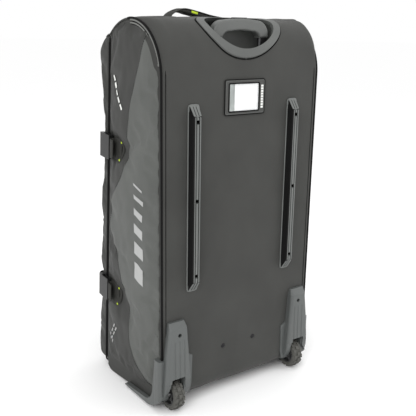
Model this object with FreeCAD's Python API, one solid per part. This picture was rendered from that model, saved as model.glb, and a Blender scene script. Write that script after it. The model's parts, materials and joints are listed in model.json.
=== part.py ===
"""Wheeled upright gear bag for winter sports kit: soft shell, hinged zip lid, trolley handle, wheel guards.

Frame: +Z up, floor at z = 0, origin under the middle of the whole bag. The wheeled back faces -Y and the
zipped lid faces +Y. Every shape below is drawn with y measured forward from the plane of the back panel;
save() moves it into the part's own frame. Millimetres throughout.
"""
import FreeCAD, Part
import math
import os

V = FreeCAD.Vector

# ---- driving dimensions ----------------------------------------------------------------------------
BAG_TOP = 865.0            # top of the shell above the floor
HALF_WIDTH = 213.0         # shell, to the outside of the side panels
PANEL = 3.0                # thickness of a padded fabric panel
Y_BACK = -146.3            # where the back panel's plane lies in the part's frame

BACK_FOOT_Z = 56.0         # where the back panel starts to curve under
BOTTOM_BACK_Z = 16.0       # underside of the shell beside the wheels
BOTTOM_RADIUS = 40.0
TOP_RADIUS_MIDDLE = 60.0   # back-to-top curve behind the trolley cup
TOP_RADIUS_SIDE = 118.0    # the same curve along the side seams
SEAM_Z = 730.0             # back panel ends and top panel starts
TOP_FLAT_Y = 120.0         # end of the level part of the top
FRONT_RADIUS = 136.0       # top-to-front curve
REST_Y0, REST_Y1 = 226.0, 250.0   # strip of the bottom that rests on the floor at the front

HINGE_ANGLE = 43.5         # along the front curve, where the lid folds
LID_BOTTOM_Y, LID_BOTTOM_Z = 271.0, 14.0
LID_DEPTH = 38.0
ZIP_GAP = 4.0              # half the width of the zip between shell and lid
CLEAR = 0.3

RAIL_X = 137.0
RAIL_Z0, RAIL_Z1 = 283.0, 692.0
RAIL_HEIGHT = 19.0
RAIL_SCREWS_Z = (321.0, 490.0, 658.0)

WHEEL_X = 181.0
WHEEL_RADIUS = 37.0
WHEEL_WIDTH = 26.0
WHEEL_Y = 10.0
AXLE_RADIUS = 4.0
GUARD_SCREW_X, GUARD_SCREW_Z = 178.0, 190.0
GUARD_TOP = 220.0
FLANGE_TOP = 132.0
RUNNER_Z = 6.0

TUBE_X = 64.0
TUBE_Y = 28.0
TUBE_FOOT_Z = 104.0
RIVET_X, RIVET_Z = 45.0, 122.0

STRAP_Z = (228.0, 582.0)
WEBBING = 45.0

hinge_y = TOP_FLAT_Y + FRONT_RADIUS * math.sin(math.radians(HINGE_ANGLE))
hinge_z = BAG_TOP - FRONT_RADIUS * (1 - math.cos(math.radians(HINGE_ANGLE)))
lid_tilt = math.degrees(math.atan2(LID_BOTTOM_Y - hinge_y, hinge_z - LID_BOTTOM_Z))
lid_length = math.hypot(LID_BOTTOM_Y - hinge_y, hinge_z - LID_BOTTOM_Z)

os.makedirs("parts", exist_ok=True)


# ---- helpers ---------------------------------------------------------------------------------------
def box(x0, x1, y0, y1, z0, z1):
    return Part.makeBox(x1 - x0, y1 - y0, z1 - z0, V(x0, y0, z0))


def rod(start, direction, radius, length):
    return Part.makeCylinder(radius, length, V(*start), V(*direction))


def line(a, b):
    return Part.LineSegment(V(*a), V(*b)).toShape()


def arc(a, middle, b):
    return Part.Arc(V(*a), V(*middle), V(*b)).toShape()


def wire_yz(points, x=0.0):
    """A closed wire from (y, z) points; a triple (y, z, "via") is the middle of an arc."""
    edges, start, via = [], points[0], None
    for p in list(points[1:]) + [points[0]]:
        if len(p) == 3:
            via = p
            continue
        a, b = (x, start[0], start[1]), (x, p[0], p[1])
        edges.append(arc(a, (x, via[0], via[1]), b) if via else line(a, b))
        start, via = p, None
    return Part.Wire(edges)


def plate_yz(points, x0, x1):
    """A flat plate with a (y, z) outline, from x0 to x1."""
    return Part.Face(wire_yz(points, x0)).extrude(V(x1 - x0, 0, 0))


def slab_xz(points, y0, y1):
    """A flat plate with an (x, z) outline, from y0 to y1."""
    wire = Part.makePolygon([V(x, y0, z) for x, z in list(points) + [points[0]]])
    return Part.Face(wire).extrude(V(0, y1 - y0, 0))


def rounded(x0, x1, y0, y1, z0, z1, radius, axis):
    """A box whose four edges along axis are rounded."""
    shape = box(x0, x1, y0, y1, z0, z1)
    along = [e for e in shape.Edges if abs(abs(e.tangentAt(e.FirstParameter).dot(axis)) - 1) < 1e-6]
    return shape.makeFillet(radius, along)


def soften(shape, radius, test):
    """Fillets the edges that test picks; a shape that can't take the fillet is returned as it is."""
    edges = [e for e in shape.Edges if test(e)]
    try:
        softer = shape.makeFillet(radius, edges)
        return softer if softer.isValid() and softer.Volume > 0 else shape
    except Exception:
        return shape


def mirrored(shape):
    return shape.mirror(V(0, 0, 0), V(1, 0, 0))


def both(shape):
    return [shape, mirrored(shape)]


def union(shapes):
    whole = shapes[0]
    for s in shapes[1:]:
        whole = whole.fuse(s)
    return whole.removeSplitter()


def without(shape, *tools):
    for t in tools:
        shape = shape.cut(t)
    return shape


def on_lid(shape):
    """Moves a shape drawn hanging from the lid's fold line (y outward, -z down the lid) into place."""
    placed = shape.copy()
    placed.rotate(V(0, 0, 0), V(1, 0, 0), lid_tilt)
    placed.translate(V(0, hinge_y, hinge_z))
    return placed


def save(name, *shapes):
    solids = [s.copy() for shape in shapes for s in shape.Solids]
    for s in solids:
        s.translate(V(0, Y_BACK, 0))
    shape = solids[0] if len(solids) == 1 else Part.makeCompound(solids)
    if not shape.isValid():
        print("not valid:", name)
    shape.exportStep(f"parts/{name}.step")


def point_on(centre_y, centre_z, radius, degrees):
    """A (y, z) point on a circle; 0 degrees is up and positive turns towards +y."""
    t = math.radians(degrees)
    return centre_y + radius * math.sin(t), centre_z + radius * math.cos(t)


# ---- side outline and the panels of the shell ---------------------------------------------------------
def top_band(top_radius, outside, inside, from_angle=None):
    """The closed section of a band that follows the back, top and front curve.

    outside and inside are the depths of its two faces below the shell's outline. It starts at the
    seam on the back, or at from_angle on the top-back curve, and ends at the lid's fold.
    """
    ry, rz = top_radius, BAG_TOP - top_radius
    fy, fz = TOP_FLAT_Y, BAG_TOP - FRONT_RADIUS

    def path(depth):
        r, rf = top_radius - depth, FRONT_RADIUS - depth
        pts = []
        if from_angle is None:
            pts += [(depth, SEAM_Z), (depth, rz), (*point_on(ry, rz, r, -45), "via")]
        else:
            pts += [point_on(ry, rz, r, from_angle), (*point_on(ry, rz, r, from_angle / 2), "via")]
        pts += [(ry, BAG_TOP - depth), (fy, BAG_TOP - depth)]
        pts += [(*point_on(fy, fz, rf, HINGE_ANGLE / 2), "via"), point_on(fy, fz, rf, HINGE_ANGLE)]
        return pts

    back_again = list(reversed(path(inside)))
    return path(outside) + back_again


def side_outline(depth=0.0):
    """Outline of a side panel, depth inside the shell's outer surface."""
    r, rf, rb = TOP_RADIUS_SIDE, FRONT_RADIUS, BOTTOM_RADIUS
    slope = math.radians(lid_tilt)
    edge_top = (hinge_y - ZIP_GAP * math.cos(slope), hinge_z - 8)
    edge_low = (LID_BOTTOM_Y - ZIP_GAP - 1.6, 34.0)
    return [
        (depth, BACK_FOOT_Z), (depth, BAG_TOP - r), (*point_on(r, BAG_TOP - r, r - depth, -45), "via"),
        (r, BAG_TOP - depth), (TOP_FLAT_Y, BAG_TOP - depth),
        (*point_on(TOP_FLAT_Y, BAG_TOP - rf, rf - depth, (HINGE_ANGLE - 4) / 2), "via"),
        point_on(TOP_FLAT_Y, BAG_TOP - rf, rf - depth, HINGE_ANGLE - 4),
        edge_top, edge_low,
        (REST_Y1 + 12, 6.0), (REST_Y1, depth), (REST_Y0, depth), (rb, BOTTOM_BACK_Z + depth),
        (*point_on(rb, BOTTOM_BACK_Z + rb, rb - depth, -135), "via"),
    ]


def cup_prism(across, below, above, depth0, depth1):
    """An egg-shaped prism square to the back-to-top curve, from depth0 to depth1 below the surface."""
    r = TOP_RADIUS_MIDDLE
    cy, cz = point_on(r, BAG_TOP - r, r, -45)
    inward = V(0, math.sqrt(0.5), -math.sqrt(0.5))
    up = V(0, math.sqrt(0.5), math.sqrt(0.5))
    centre = V(0, cy, cz) + up * CUP_SHIFT + inward * depth0
    halves = []
    for reach in (up * above, up * -below):
        ellipse = Part.Ellipse(centre + V(across, 0, 0), centre + reach, centre)
        halves.append(Part.ArcOfEllipse(ellipse, 0, math.pi).toShape())
    return Part.Face(Part.Wire(halves)).extrude(inward * (depth1 - depth0))


CUP_SHIFT = 15.0                      # widest line of the cup, up the curve from its 45 degree point
CUP_OUTER = (109.0, 72.5, 41.0)       # trim ring: half width, reach down the curve, reach up it
CUP_INNER = (90.0, 59.0, 30.0)        # mouth
CUP_HOLE = (96.0, 64.5, 34.5)         # hole in the fabric
CUP_DEPTH = 44.0
CUP_WALL = 2.5


def screw_places():
    """(x, z) of every screw that goes through the back panel, on the right-hand side."""
    return [(RAIL_X, z) for z in RAIL_SCREWS_Z] + [(GUARD_SCREW_X, GUARD_SCREW_Z)]


WELL_HALF, WELL_Y, WELL_TOP = 20.6, 54.0, 92.0


def wheel_wells(margin):
    """The pockets in the shell that the wheel guards reach into."""
    x0, x1 = WHEEL_X - WELL_HALF - margin, WHEEL_X + WELL_HALF + margin
    return both(box(x0, x1, -1, WELL_Y + margin, -1, WELL_TOP + margin))


def shank_holes(radius, y0, y1):
    tools = []
    for x, z in screw_places() + [(RIVET_X, RIVET_Z)]:
        tools += both(rod((x, y0, z), (0, 1, 0), radius, y1 - y0))
    return tools


def back_panel():
    rb, w = BOTTOM_RADIUS, HALF_WIDTH - PANEL
    outer_mid = point_on(rb, BOTTOM_BACK_Z + rb, rb, -135)
    inner_mid = point_on(rb, BOTTOM_BACK_Z + rb, rb - PANEL, -135)
    section = [
        (0, SEAM_Z), (0, BACK_FOOT_Z), (*outer_mid, "via"), (rb, BOTTOM_BACK_Z),
        (rb, BOTTOM_BACK_Z + PANEL), (*inner_mid, "via"), (PANEL, BACK_FOOT_Z), (PANEL, SEAM_Z),
    ]
    return without(plate_yz(section, -w, w), *wheel_wells(0.4), *shank_holes(2.6, -1, 6))


def top_panel():
    middle = CUP_OUTER[0] + 4
    centre = plate_yz(top_band(TOP_RADIUS_MIDDLE, 0, PANEL), -middle, middle)
    crown = ((middle, TOP_RADIUS_MIDDLE), (170.0, 63.0), (196.0, 67.0), (205.0, 82.0),
             (HALF_WIDTH - PANEL, TOP_RADIUS_SIDE - 8))
    wing = Part.makeLoft([wire_yz(top_band(r, 0, PANEL), x) for x, r in crown], True, True)
    return without(union([centre] + both(wing)), cup_prism(*CUP_HOLE, -40, 60))


def bottom_panel():
    w = HALF_WIDTH - PANEL
    rb = BOTTOM_RADIUS
    section = [
        (rb, BOTTOM_BACK_Z), (REST_Y0, 0), (REST_Y1, 0), (REST_Y1 + 12, 6), (LID_BOTTOM_Y - 5, 22),
        (LID_BOTTOM_Y - 8, 23), (REST_Y1 + 10, 9), (REST_Y1 - 1, PANEL), (REST_Y0, PANEL),
        (rb, BOTTOM_BACK_Z + PANEL),
    ]
    return without(plate_yz(section, -w, w), *wheel_wells(0.4))


def side_panel():
    """The right-hand side panel: one padded panel of cloth, cut to the side outline."""
    return plate_yz(side_outline(), HALF_WIDTH - PANEL, HALF_WIDTH)


def side_insert():
    """Lighter wave-shaped appliqué on the right-hand side panel."""
    r, inset = TOP_RADIUS_SIDE, 15.0
    tip, middle = (point_on(r, BAG_TOP - r, r - inset, a) for a in (-41, -65))
    wave = [(33, 40), (92, 84), (124, 130), (146, 232), (184, 328), (214, 380), (218, 424), (200, 470),
            (152, 526), (126, 590), (112, 640), (88, 710), (64, 770), tip]
    curve = Part.BSplineCurve()
    curve.interpolate([V(HALF_WIDTH, y, z) for y, z in wave])
    back = [(inset, BAG_TOP - r), (inset, 160), (26, 140), (33, 40)]
    x = HALF_WIDTH
    edges = [curve.toShape(), arc((x, *tip), (x, *middle), (x, *back[0]))]
    edges += [line((x, *a), (x, *b)) for a, b in zip(back, back[1:])]
    return Part.Face(Part.Wire(edges)).extrude(V(0.8, 0, 0))


def edge_piping():
    """Cord sewn into the seam between the right-hand side panel and the back and top."""
    radius, depth, x = 1.9, 2.2, HALF_WIDTH + 2.0
    r, rf = TOP_RADIUS_SIDE, FRONT_RADIUS
    ends = point_on(TOP_FLAT_Y, BAG_TOP - rf, rf - depth, HINGE_ANGLE - 6)
    path = Part.Wire([
        line((x, depth, 140), (x, depth, BAG_TOP - r)),
        arc((x, depth, BAG_TOP - r), (x, *point_on(r, BAG_TOP - r, r - depth, -45)), (x, r, BAG_TOP - depth)),
        line((x, r, BAG_TOP - depth), (x, TOP_FLAT_Y, BAG_TOP - depth)),
        arc((x, TOP_FLAT_Y, BAG_TOP - depth),
            (x, *point_on(TOP_FLAT_Y, BAG_TOP - rf, rf - depth, (HINGE_ANGLE - 6) / 2)), (x, *ends)),
    ])
    profile = Part.Wire([Part.Circle(V(x, depth, 140), V(0, 0, 1), radius).toShape()])
    return path.makePipeShell([profile], True, False)


# ---- zips ------------------------------------------------------------------------------------------
LID_HALF = HALF_WIDTH - 1.0
ZIP_HALF = HALF_WIDTH + 0.2


def lid_ring(half, corner, n0, n1, thickness, top=-6.0):
    """A U-shaped wall down both sides and along the foot of the lid, drawn in the lid's own frame."""
    def block(inset, cap):
        w = half - inset
        shape = rounded(-w, w, n0, n1, -lid_length + inset, 40, max(corner - inset, 1), V(0, 1, 0))
        return shape.common(box(-w - 1, w + 1, n0, n1, -lid_length - 1, cap))
    return block(0, top).cut(block(thickness, top + 1))


def main_zip_shell_tape():
    """The shell's half of the zip: round the lid opening, then back over the top along both seams."""
    ring = on_lid(lid_ring(ZIP_HALF, 12, -ZIP_GAP + 0.1, -CLEAR, 1.5))
    band = top_band(TOP_RADIUS_SIDE, 5.0, 13.0, from_angle=-80)
    over = plate_yz(band, HALF_WIDTH + 0.1, HALF_WIDTH + 1.4)
    return [ring] + both(over)


EYE_Z = 4.0                # height of the crown's eye over the slider's foot


def zip_slider(eye_across=True):
    """A zip slider on a zip along x, crown up +z; the crown's eye runs across the zip, or along it."""
    body = rounded(-6.5, 6.5, -5, 5, 0, 2.6, 2.4, V(0, 0, 1))
    crown = rounded(-4, 4, -1.6, 1.6, 2.2, 6.4, 1.2, V(0, 0, 1))
    crown = crown.cut(rod((0, -3, EYE_Z), (0, 1, 0), 1.15, 6))
    if not eye_across:
        crown.rotate(V(0, 0, 0), V(0, 0, 1), 90)
    return union([body, crown])


def zip_pull():
    """A tab on a wire ring, hanging in -z from the ring's top bar, which lies along x; thin along y."""
    bar = rod((-3.2, 0, 0), (1, 0, 0), 0.8, 6.4)
    ring = without(rounded(-4.2, 4.2, -0.8, 0.8, -12, 0.8, 0.7, V(0, 1, 0)), box(-2.4, 2.4, -2, 2, -10.4, 2))
    tab = rounded(-4.5, 4.5, -0.9, 0.9, -42, -11.5, 3.0, V(0, 1, 0))
    return union([ring, tab, bar])


# ---- lid --------------------------------------------------------------------------------------------
def lid_panel():
    block = rounded(-LID_HALF, LID_HALF, LID_DEPTH - 4, LID_DEPTH, -lid_length, 0, 14, V(0, 1, 0))
    return on_lid(block)


def lid_gusset():
    wall = lid_ring(LID_HALF, 14, ZIP_GAP, LID_DEPTH - 4, 3, top=-16)
    cap = box(-LID_HALF, LID_HALF, 7, LID_DEPTH - 4, -16, -13)
    return on_lid(union([wall, cap]))


POCKETS = {"upper": (-330.0, -70.0), "lower": (-760.0, -370.0)}   # along the lid: foot, head
POCKET_HALF = 172.0
POCKET_DEPTH = 15.0


def pocket(name):
    z0, z1 = POCKETS[name]
    n0, n1 = LID_DEPTH + 0.1, LID_DEPTH + POCKET_DEPTH
    block = rounded(-POCKET_HALF, POCKET_HALF, n0, n1, z0, z1, 38, V(0, 1, 0))
    block = soften(block, 6, lambda e: all(abs(v.Y - n1) < 0.01 for v in e.Vertexes))
    return on_lid(block)


def pocket_zip_z(name):
    return POCKETS[name][1] - 44


def pocket_zip(name):
    n0 = LID_DEPTH + POCKET_DEPTH + 0.05
    z = pocket_zip_z(name)
    return on_lid(box(-150, 150, n0, n0 + 1.2, z - 9, z + 9))


SLIDER_LIFT = 0.2          # between a zip's tape and the slider that runs on it
POCKET_SLIDER_X = -138.0
POCKET_SEAT = LID_DEPTH + POCKET_DEPTH + 1.25 + SLIDER_LIFT


def pocket_slider(name):
    body = zip_slider(eye_across=False)
    body.rotate(V(0, 0, 0), V(1, 0, 0), -90)
    body.translate(V(POCKET_SLIDER_X, POCKET_SEAT, pocket_zip_z(name)))
    return on_lid(body)


def pocket_pull(name):
    body = zip_pull()
    body.translate(V(POCKET_SLIDER_X, POCKET_SEAT + EYE_Z, pocket_zip_z(name)))
    return on_lid(body)


MAIN_SLIDER_Z = -36.0      # along the zip's right-hand run, below the fold
MAIN_SEAT = ZIP_HALF + SLIDER_LIFT


def main_slider():
    """The main zip's slider at the head of the right-hand run, lying on both tapes with its crown outward."""
    body = zip_slider()
    body.rotate(V(0, 0, 0), V(0, 1, 0), 90)
    body.translate(V(MAIN_SEAT, 0, MAIN_SLIDER_Z))
    return on_lid(body)


def main_pull():
    body = zip_pull()
    body.rotate(V(0, 0, 0), V(0, 0, 1), 90)
    body.translate(V(MAIN_SEAT + EYE_Z, 0, MAIN_SLIDER_Z))
    return on_lid(body)


# ---- compression straps -----------------------------------------------------------------------------
BUCKLE_HALF = 28.0
STRAP_X = HALF_WIDTH + 1.2


def lid_edge_y(z):
    """y of the zip line at height z."""
    return hinge_y + (hinge_z - z) * math.tan(math.radians(lid_tilt))


def strap_frame(shape, z):
    """Places a shape drawn along +y from the zip line, square to the lid's radius at height z."""
    placed = shape.copy()
    reach_y, reach_z = lid_edge_y(z) - hinge_y, hinge_z - z
    placed.rotate(V(0, 0, 0), V(1, 0, 0), math.degrees(math.atan2(reach_y, reach_z)))
    placed.translate(V(0, lid_edge_y(z), z))
    return placed


def ribbon(route, thickness=1.6):
    """Webbing on edge: follows (x, y) points, as wide as the strap along z."""
    path = [V(x, y, 0) for x, y in route]
    left, right = [], []
    for i, p in enumerate(path):
        before = (p - path[i - 1]).normalize() if i else None
        after = (path[i + 1] - p).normalize() if i + 1 < len(path) else None
        along = ((before or after) + (after or before)).normalize()
        side = V(-along.y, along.x, 0)
        stretch = 1 / max(0.7, math.sqrt(max(0.0, (1 + (before or after).dot(after or before)) / 2)))
        left.append(p + side * (thickness / 2 * stretch))
        right.insert(0, p - side * (thickness / 2 * stretch))
    outline = left + right
    face = Part.Face(Part.makePolygon([p - V(0, 0, WEBBING / 2) for p in outline + outline[:1]]))
    return face.extrude(V(0, 0, WEBBING))


def anchor_patch(z):
    half, y0, y1 = WEBBING / 2 + 4, -78.0, -38.0
    points = [(y0, -half + 12), (y0 + 10, -half), (y1, -half + 4), (y1, half - 4), (y0 + 10, half), (y0, half - 12)]
    return strap_frame(plate_yz(points, HALF_WIDTH + 0.9, HALF_WIDTH + 2.4), z)


def rear_strap(z):
    """Webbing from under the anchor patch to the socket, with its loose tail turned back."""
    x = STRAP_X + 2.2
    route = [(x, -60), (x, -27.5), (x + 6.5, -27.5), (x + 10.5, -34), (x + 11.5, -48)]
    return strap_frame(ribbon(route), z)


def socket(z):
    """Female half of a side-release buckle: two plates joined along their middle and at the strap bar."""
    x0, x1, hw = STRAP_X + 1.2, STRAP_X + 12.2, BUCKLE_HALF
    y0, y1 = -25.0, 6.0
    plates = [box(x0, x0 + 2, y0, y1, -hw, hw), box(x1 - 2, x1, y0, y1, -hw, hw)]
    rear = box(x0, x1, y0, y0 + 5, -hw, hw)
    key = box(x0, x1, y0, y1 - 9, -2.2, 2.2)
    body = soften(union(plates + [rear, key]), 0.8,
                  lambda e: all(abs(v.X - x1) < 0.01 for v in e.Vertexes))
    return strap_frame(body, z)


def prongs(z):
    """Male half: a bar that holds the webbing and two sprung arms either side of the socket's key."""
    x0, x1, hw = STRAP_X + 3.8, STRAP_X + 9.6, BUCKLE_HALF
    base = box(x0 - 1.2, x1 + 1.2, 7.0, 19.0, -hw, hw)
    slot = box(STRAP_X + 5.6, STRAP_X + 7.8, 12.0, 20.0, -WEBBING / 2 - 0.5, WEBBING / 2 + 0.5)
    arms = [box(x0, x1, -16.0, 8.0, s * 16 - 5, s * 16 + 5) for s in (-1, 1)]
    barbs = [plate_yz([(-16, s * 20), (-6, s * 27), (-3, s * 27), (-1, s * 20)], x0, x1) for s in (-1, 1)]
    return strap_frame(union([base.cut(slot)] + arms + barbs), z)


def front_strap(z):
    """Webbing from the male half round the lid's edge, sewn flat to the lid's face."""
    out = LID_DEPTH + 1.2
    route = [(STRAP_X + 6.7, 12.2), (STRAP_X + 6.7, 24), (LID_HALF + 2.2, out), (LID_HALF - 3, out + 0.4),
             (POCKET_HALF + 3, out + 0.4)]
    return strap_frame(ribbon(route), z)


# ---- trolley handle -----------------------------------------------------------------------------------
def tube(x, y, z0, z1, width, depth, wall):
    outer = rounded(x - width / 2, x + width / 2, y - depth / 2, y + depth / 2, z0, z1, 5, V(0, 0, 1))
    inner = rounded(x - width / 2 + wall, x + width / 2 - wall, y - depth / 2 + wall, y + depth / 2 - wall,
                    z0 - 1, z1 + 1, 5 - wall, V(0, 0, 1))
    return outer.cut(inner)


def trolley_cup():
    """Trim ring over the back-to-top curve and the moulded well that the grip parks in."""
    skin = plate_yz(top_band(TOP_RADIUS_MIDDLE, -3.2, -0.1), -140, 140)
    low = box(-140, 140, -3.2, -0.1, SEAM_Z - 30, SEAM_Z)
    ring = union([skin, low]).common(cup_prism(*CUP_OUTER, -60, 60))
    ring = ring.cut(cup_prism(*CUP_INNER, -60, 60))
    outline = plate_yz(top_band(TOP_RADIUS_MIDDLE, -1.0, 120), -140, 140)
    outer = cup_prism(*[reach + CUP_WALL for reach in CUP_INNER], -30, CUP_DEPTH + CUP_WALL)
    inner = cup_prism(*CUP_INNER, -60, CUP_DEPTH)
    well = outer.cut(inner).common(outline)
    holes = [tube_window(s * TUBE_X, 28.4, 18.4) for s in (-1, 1)]
    cup = union([ring, well])
    cup = soften(cup, 1.0, lambda e: e.Length > 60 and e.BoundBox.YMin < 90 and e.BoundBox.ZMin > 780
                 and on_ring_edge(e))
    return without(cup, *holes)


def on_ring_edge(edge):
    """True for an edge on the outer face of the trim ring."""
    m = edge.valueAt((edge.FirstParameter + edge.LastParameter) / 2)
    r = TOP_RADIUS_MIDDLE
    away = math.hypot(m.y - r, m.z - (BAG_TOP - r)) - r if m.y < r and m.z > BAG_TOP - r else max(-m.y, m.z - BAG_TOP)
    return abs(away - 3.2) < 0.05


def tube_window(x, width, depth):
    return rounded(x - width / 2, x + width / 2, TUBE_Y - depth / 2, TUBE_Y + depth / 2, 700, 830, 5.4, V(0, 0, 1))


def outer_tube(side):
    return tube(side * TUBE_X, TUBE_Y, TUBE_FOOT_Z, 776, 26, 16, 1.3)


def tube_collar(side):
    """Guide collar on the mouth of an outer tube; the inner tube runs through it."""
    x = side * TUBE_X
    head = rounded(x - 15.4, x + 15.4, TUBE_Y - 10.4, TUBE_Y + 10.4, 752, 780, 6, V(0, 0, 1))
    seat = rounded(x - 13.05, x + 13.05, TUBE_Y - 8.05, TUBE_Y + 8.05, 751, 776.05, 5, V(0, 0, 1))
    bore = rounded(x - 10.6, x + 10.6, TUBE_Y - 5.6, TUBE_Y + 5.6, 740, 790, 4, V(0, 0, 1))
    return without(head, seat, bore)


def base_bracket():
    """Cross bar that joins the feet of the outer tubes, riveted through the back panel."""
    half, front = TUBE_X + 20, TUBE_Y + 12
    tail = 4.5                       # half width of the recess over a rivet's tail
    bar = rounded(-half, half, 6.3, front, 92, 140, 5, V(0, 1, 0))
    pockets = [rounded(s * TUBE_X - 13.05, s * TUBE_X + 13.05, TUBE_Y - 8.05, TUBE_Y + 8.05,
                       TUBE_FOOT_Z - 0.05, 150, 5, V(0, 0, 1)) for s in (-1, 1)]
    recesses = both(box(RIVET_X - tail, RIVET_X + tail, 20, front + 4, 80, 150))
    relief = box(-RIVET_X + 9, RIVET_X - 9, 16, front + 4, 100, 150)
    seats = [rod((s * RIVET_X, -5, RIVET_Z), (0, 1, 0), 2.55, 60) for s in (-1, 1)]
    return without(bar, *pockets, relief, *seats, *recesses)


def bracket_rivet(side):
    head = Part.makeSphere(7.0, V(side * RIVET_X, 3.6, RIVET_Z)).common(
        box(side * RIVET_X - 8, side * RIVET_X + 8, -8, -0.05, RIVET_Z - 8, RIVET_Z + 8))
    return union([head, rod((side * RIVET_X, -0.1, RIVET_Z), (0, 1, 0), 2.4, 21)])


def inner_tube(side):
    body = tube(side * TUBE_X, TUBE_Y, 118, 838, 21, 11, 1.2)
    pin_hole = rod((side * (TUBE_X + 4), TUBE_Y, 130), (side, 0, 0), 2.7, 10)
    return body.cut(pin_hole)


def lock_block(side):
    """Nylon foot of an inner tube: runs in the outer tube and guides the lock pin."""
    x = side * TUBE_X
    foot = rounded(x - 11.55, x + 11.55, TUBE_Y - 6.55, TUBE_Y + 6.55, 108, 118, 3.6, V(0, 0, 1))
    plug = rounded(x - 9.25, x + 9.25, TUBE_Y - 4.25, TUBE_Y + 4.25, 117.9, 144, 4.0, V(0, 0, 1))
    pin_hole = rod((x - side * 5, TUBE_Y, 130), (side, 0, 0), 2.6, 30)
    ramp = box(x - 6, x + 6, TUBE_Y - 2.4, TUBE_Y + 2.4, 122, 150)
    return without(union([foot, plug]), pin_hole, ramp)


def lock_pin(side):
    x = side * TUBE_X
    return rod((x + side * 6.2, TUBE_Y, 130), (side, 0, 0), 2.4, 5.0)


GRIP_HALF = 75.0
GRIP_DEPTH = 23.0
GRIP_FOOT, GRIP_CROWN = 826.0, 866.0
GAP_FOOT, GAP_CROWN = 815.0, 842.0     # the opening for the fingers
GAP_HALF = TUBE_X - 12.0


def arch_face(half, foot, crown, shoulder):
    """An arched (x, z) face at y = 0: straight foot, curved shoulders, gently crowned top."""
    left, right = (-half, 0, foot), (half, 0, foot)
    a, b = (-half, 0, foot + shoulder * 0.35), (half, 0, foot + shoulder * 0.35)
    c, d = (-half + shoulder, 0, crown - 3), (half - shoulder, 0, crown - 3)
    bulge = shoulder * 0.30
    edges = [
        line(left, a), arc(a, (-half + bulge, 0, foot + (crown - foot) * 0.72), c),
        arc(c, (0, 0, crown), d), arc(d, (half - bulge, 0, foot + (crown - foot) * 0.72), b),
        line(b, right), line(right, left),
    ]
    return Part.Face(Part.Wire(edges))


def grip_block():
    y0 = TUBE_Y - GRIP_DEPTH / 2
    block = arch_face(GRIP_HALF, GRIP_FOOT, GRIP_CROWN, 32).extrude(V(0, GRIP_DEPTH, 0))
    gap = arch_face(GAP_HALF, GAP_FOOT, GAP_CROWN, 22).extrude(V(0, GRIP_DEPTH + 20, 0))
    gap.translate(V(0, -10, 0))
    block = block.cut(gap)
    block = soften(block, 5.0, lambda e: abs(e.BoundBox.YLength) < 0.01 and e.BoundBox.ZMax > 823)
    block.translate(V(0, y0, 0))
    return block


BUTTON_HALF = 19.0
BAR_HALF, BAR_Z0, BAR_Z1 = 54.0, 850.0, 856.0      # cross bar of the release linkage
ARM_INNER, ARM_OUTER, ARM_Z0, ARM_Z1 = 48.0, TUBE_X + 2.2, 844.0, 851.5   # its dropped ends
BUTTON_STROKE = 4.0


def grip_cavity():
    """Everything the grip shells leave room for: tube sockets, the cross bar and the button."""
    sockets = [rounded(s * TUBE_X - 10.52, s * TUBE_X + 10.52, TUBE_Y - 5.52, TUBE_Y + 5.52, 800, 838.1, 5,
                       V(0, 0, 1)) for s in (-1, 1)]
    room = 0.5
    low = BUTTON_STROKE + room
    bar = box(-BAR_HALF - room, BAR_HALF + room, TUBE_Y - 4, TUBE_Y + 4, BAR_Z0 - low, BAR_Z1 + room)
    arms = both(box(ARM_INNER - room, ARM_OUTER + room, TUBE_Y - 4, TUBE_Y + 4, ARM_Z0 - low, ARM_Z1 + room))
    rods = [rod((s * TUBE_X, TUBE_Y, 830), (0, 0, 1), 3.2, 20) for s in (-1, 1)]
    well = box(-BUTTON_HALF - 0.5, BUTTON_HALF + 0.5, TUBE_Y - 6.5, TUBE_Y + 6.5, 850, 880)
    return sockets + [bar, well] + arms + rods


def grip_shell(front):
    y0, y1 = (TUBE_Y, TUBE_Y + 30) if front else (TUBE_Y - 30, TUBE_Y)
    half = grip_block().common(box(-100, 100, y0, y1, 800, 900))
    return without(half, *grip_cavity())


def release_button():
    cap = rounded(-BUTTON_HALF, BUTTON_HALF, TUBE_Y - 6, TUBE_Y + 6, 856, 868.5, 3, V(0, 0, 1))
    return soften(cap, 1.4, lambda e: all(abs(v.Z - 868.5) < 0.01 for v in e.Vertexes))


def release_linkage():
    """Cross bar under the button and the two long rods that draw the lock pins in."""
    bar = box(-BAR_HALF, BAR_HALF, TUBE_Y - 3, TUBE_Y + 3, BAR_Z0, BAR_Z1)
    arms = both(box(ARM_INNER, ARM_OUTER, TUBE_Y - 3, TUBE_Y + 3, ARM_Z0, ARM_Z1))
    foot = 140.0
    rods = [rod((s * TUBE_X, TUBE_Y, foot), (0, 0, 1), 2.0, ARM_Z0 + 4 - foot) for s in (-1, 1)]
    return union([bar] + arms + rods)


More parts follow.
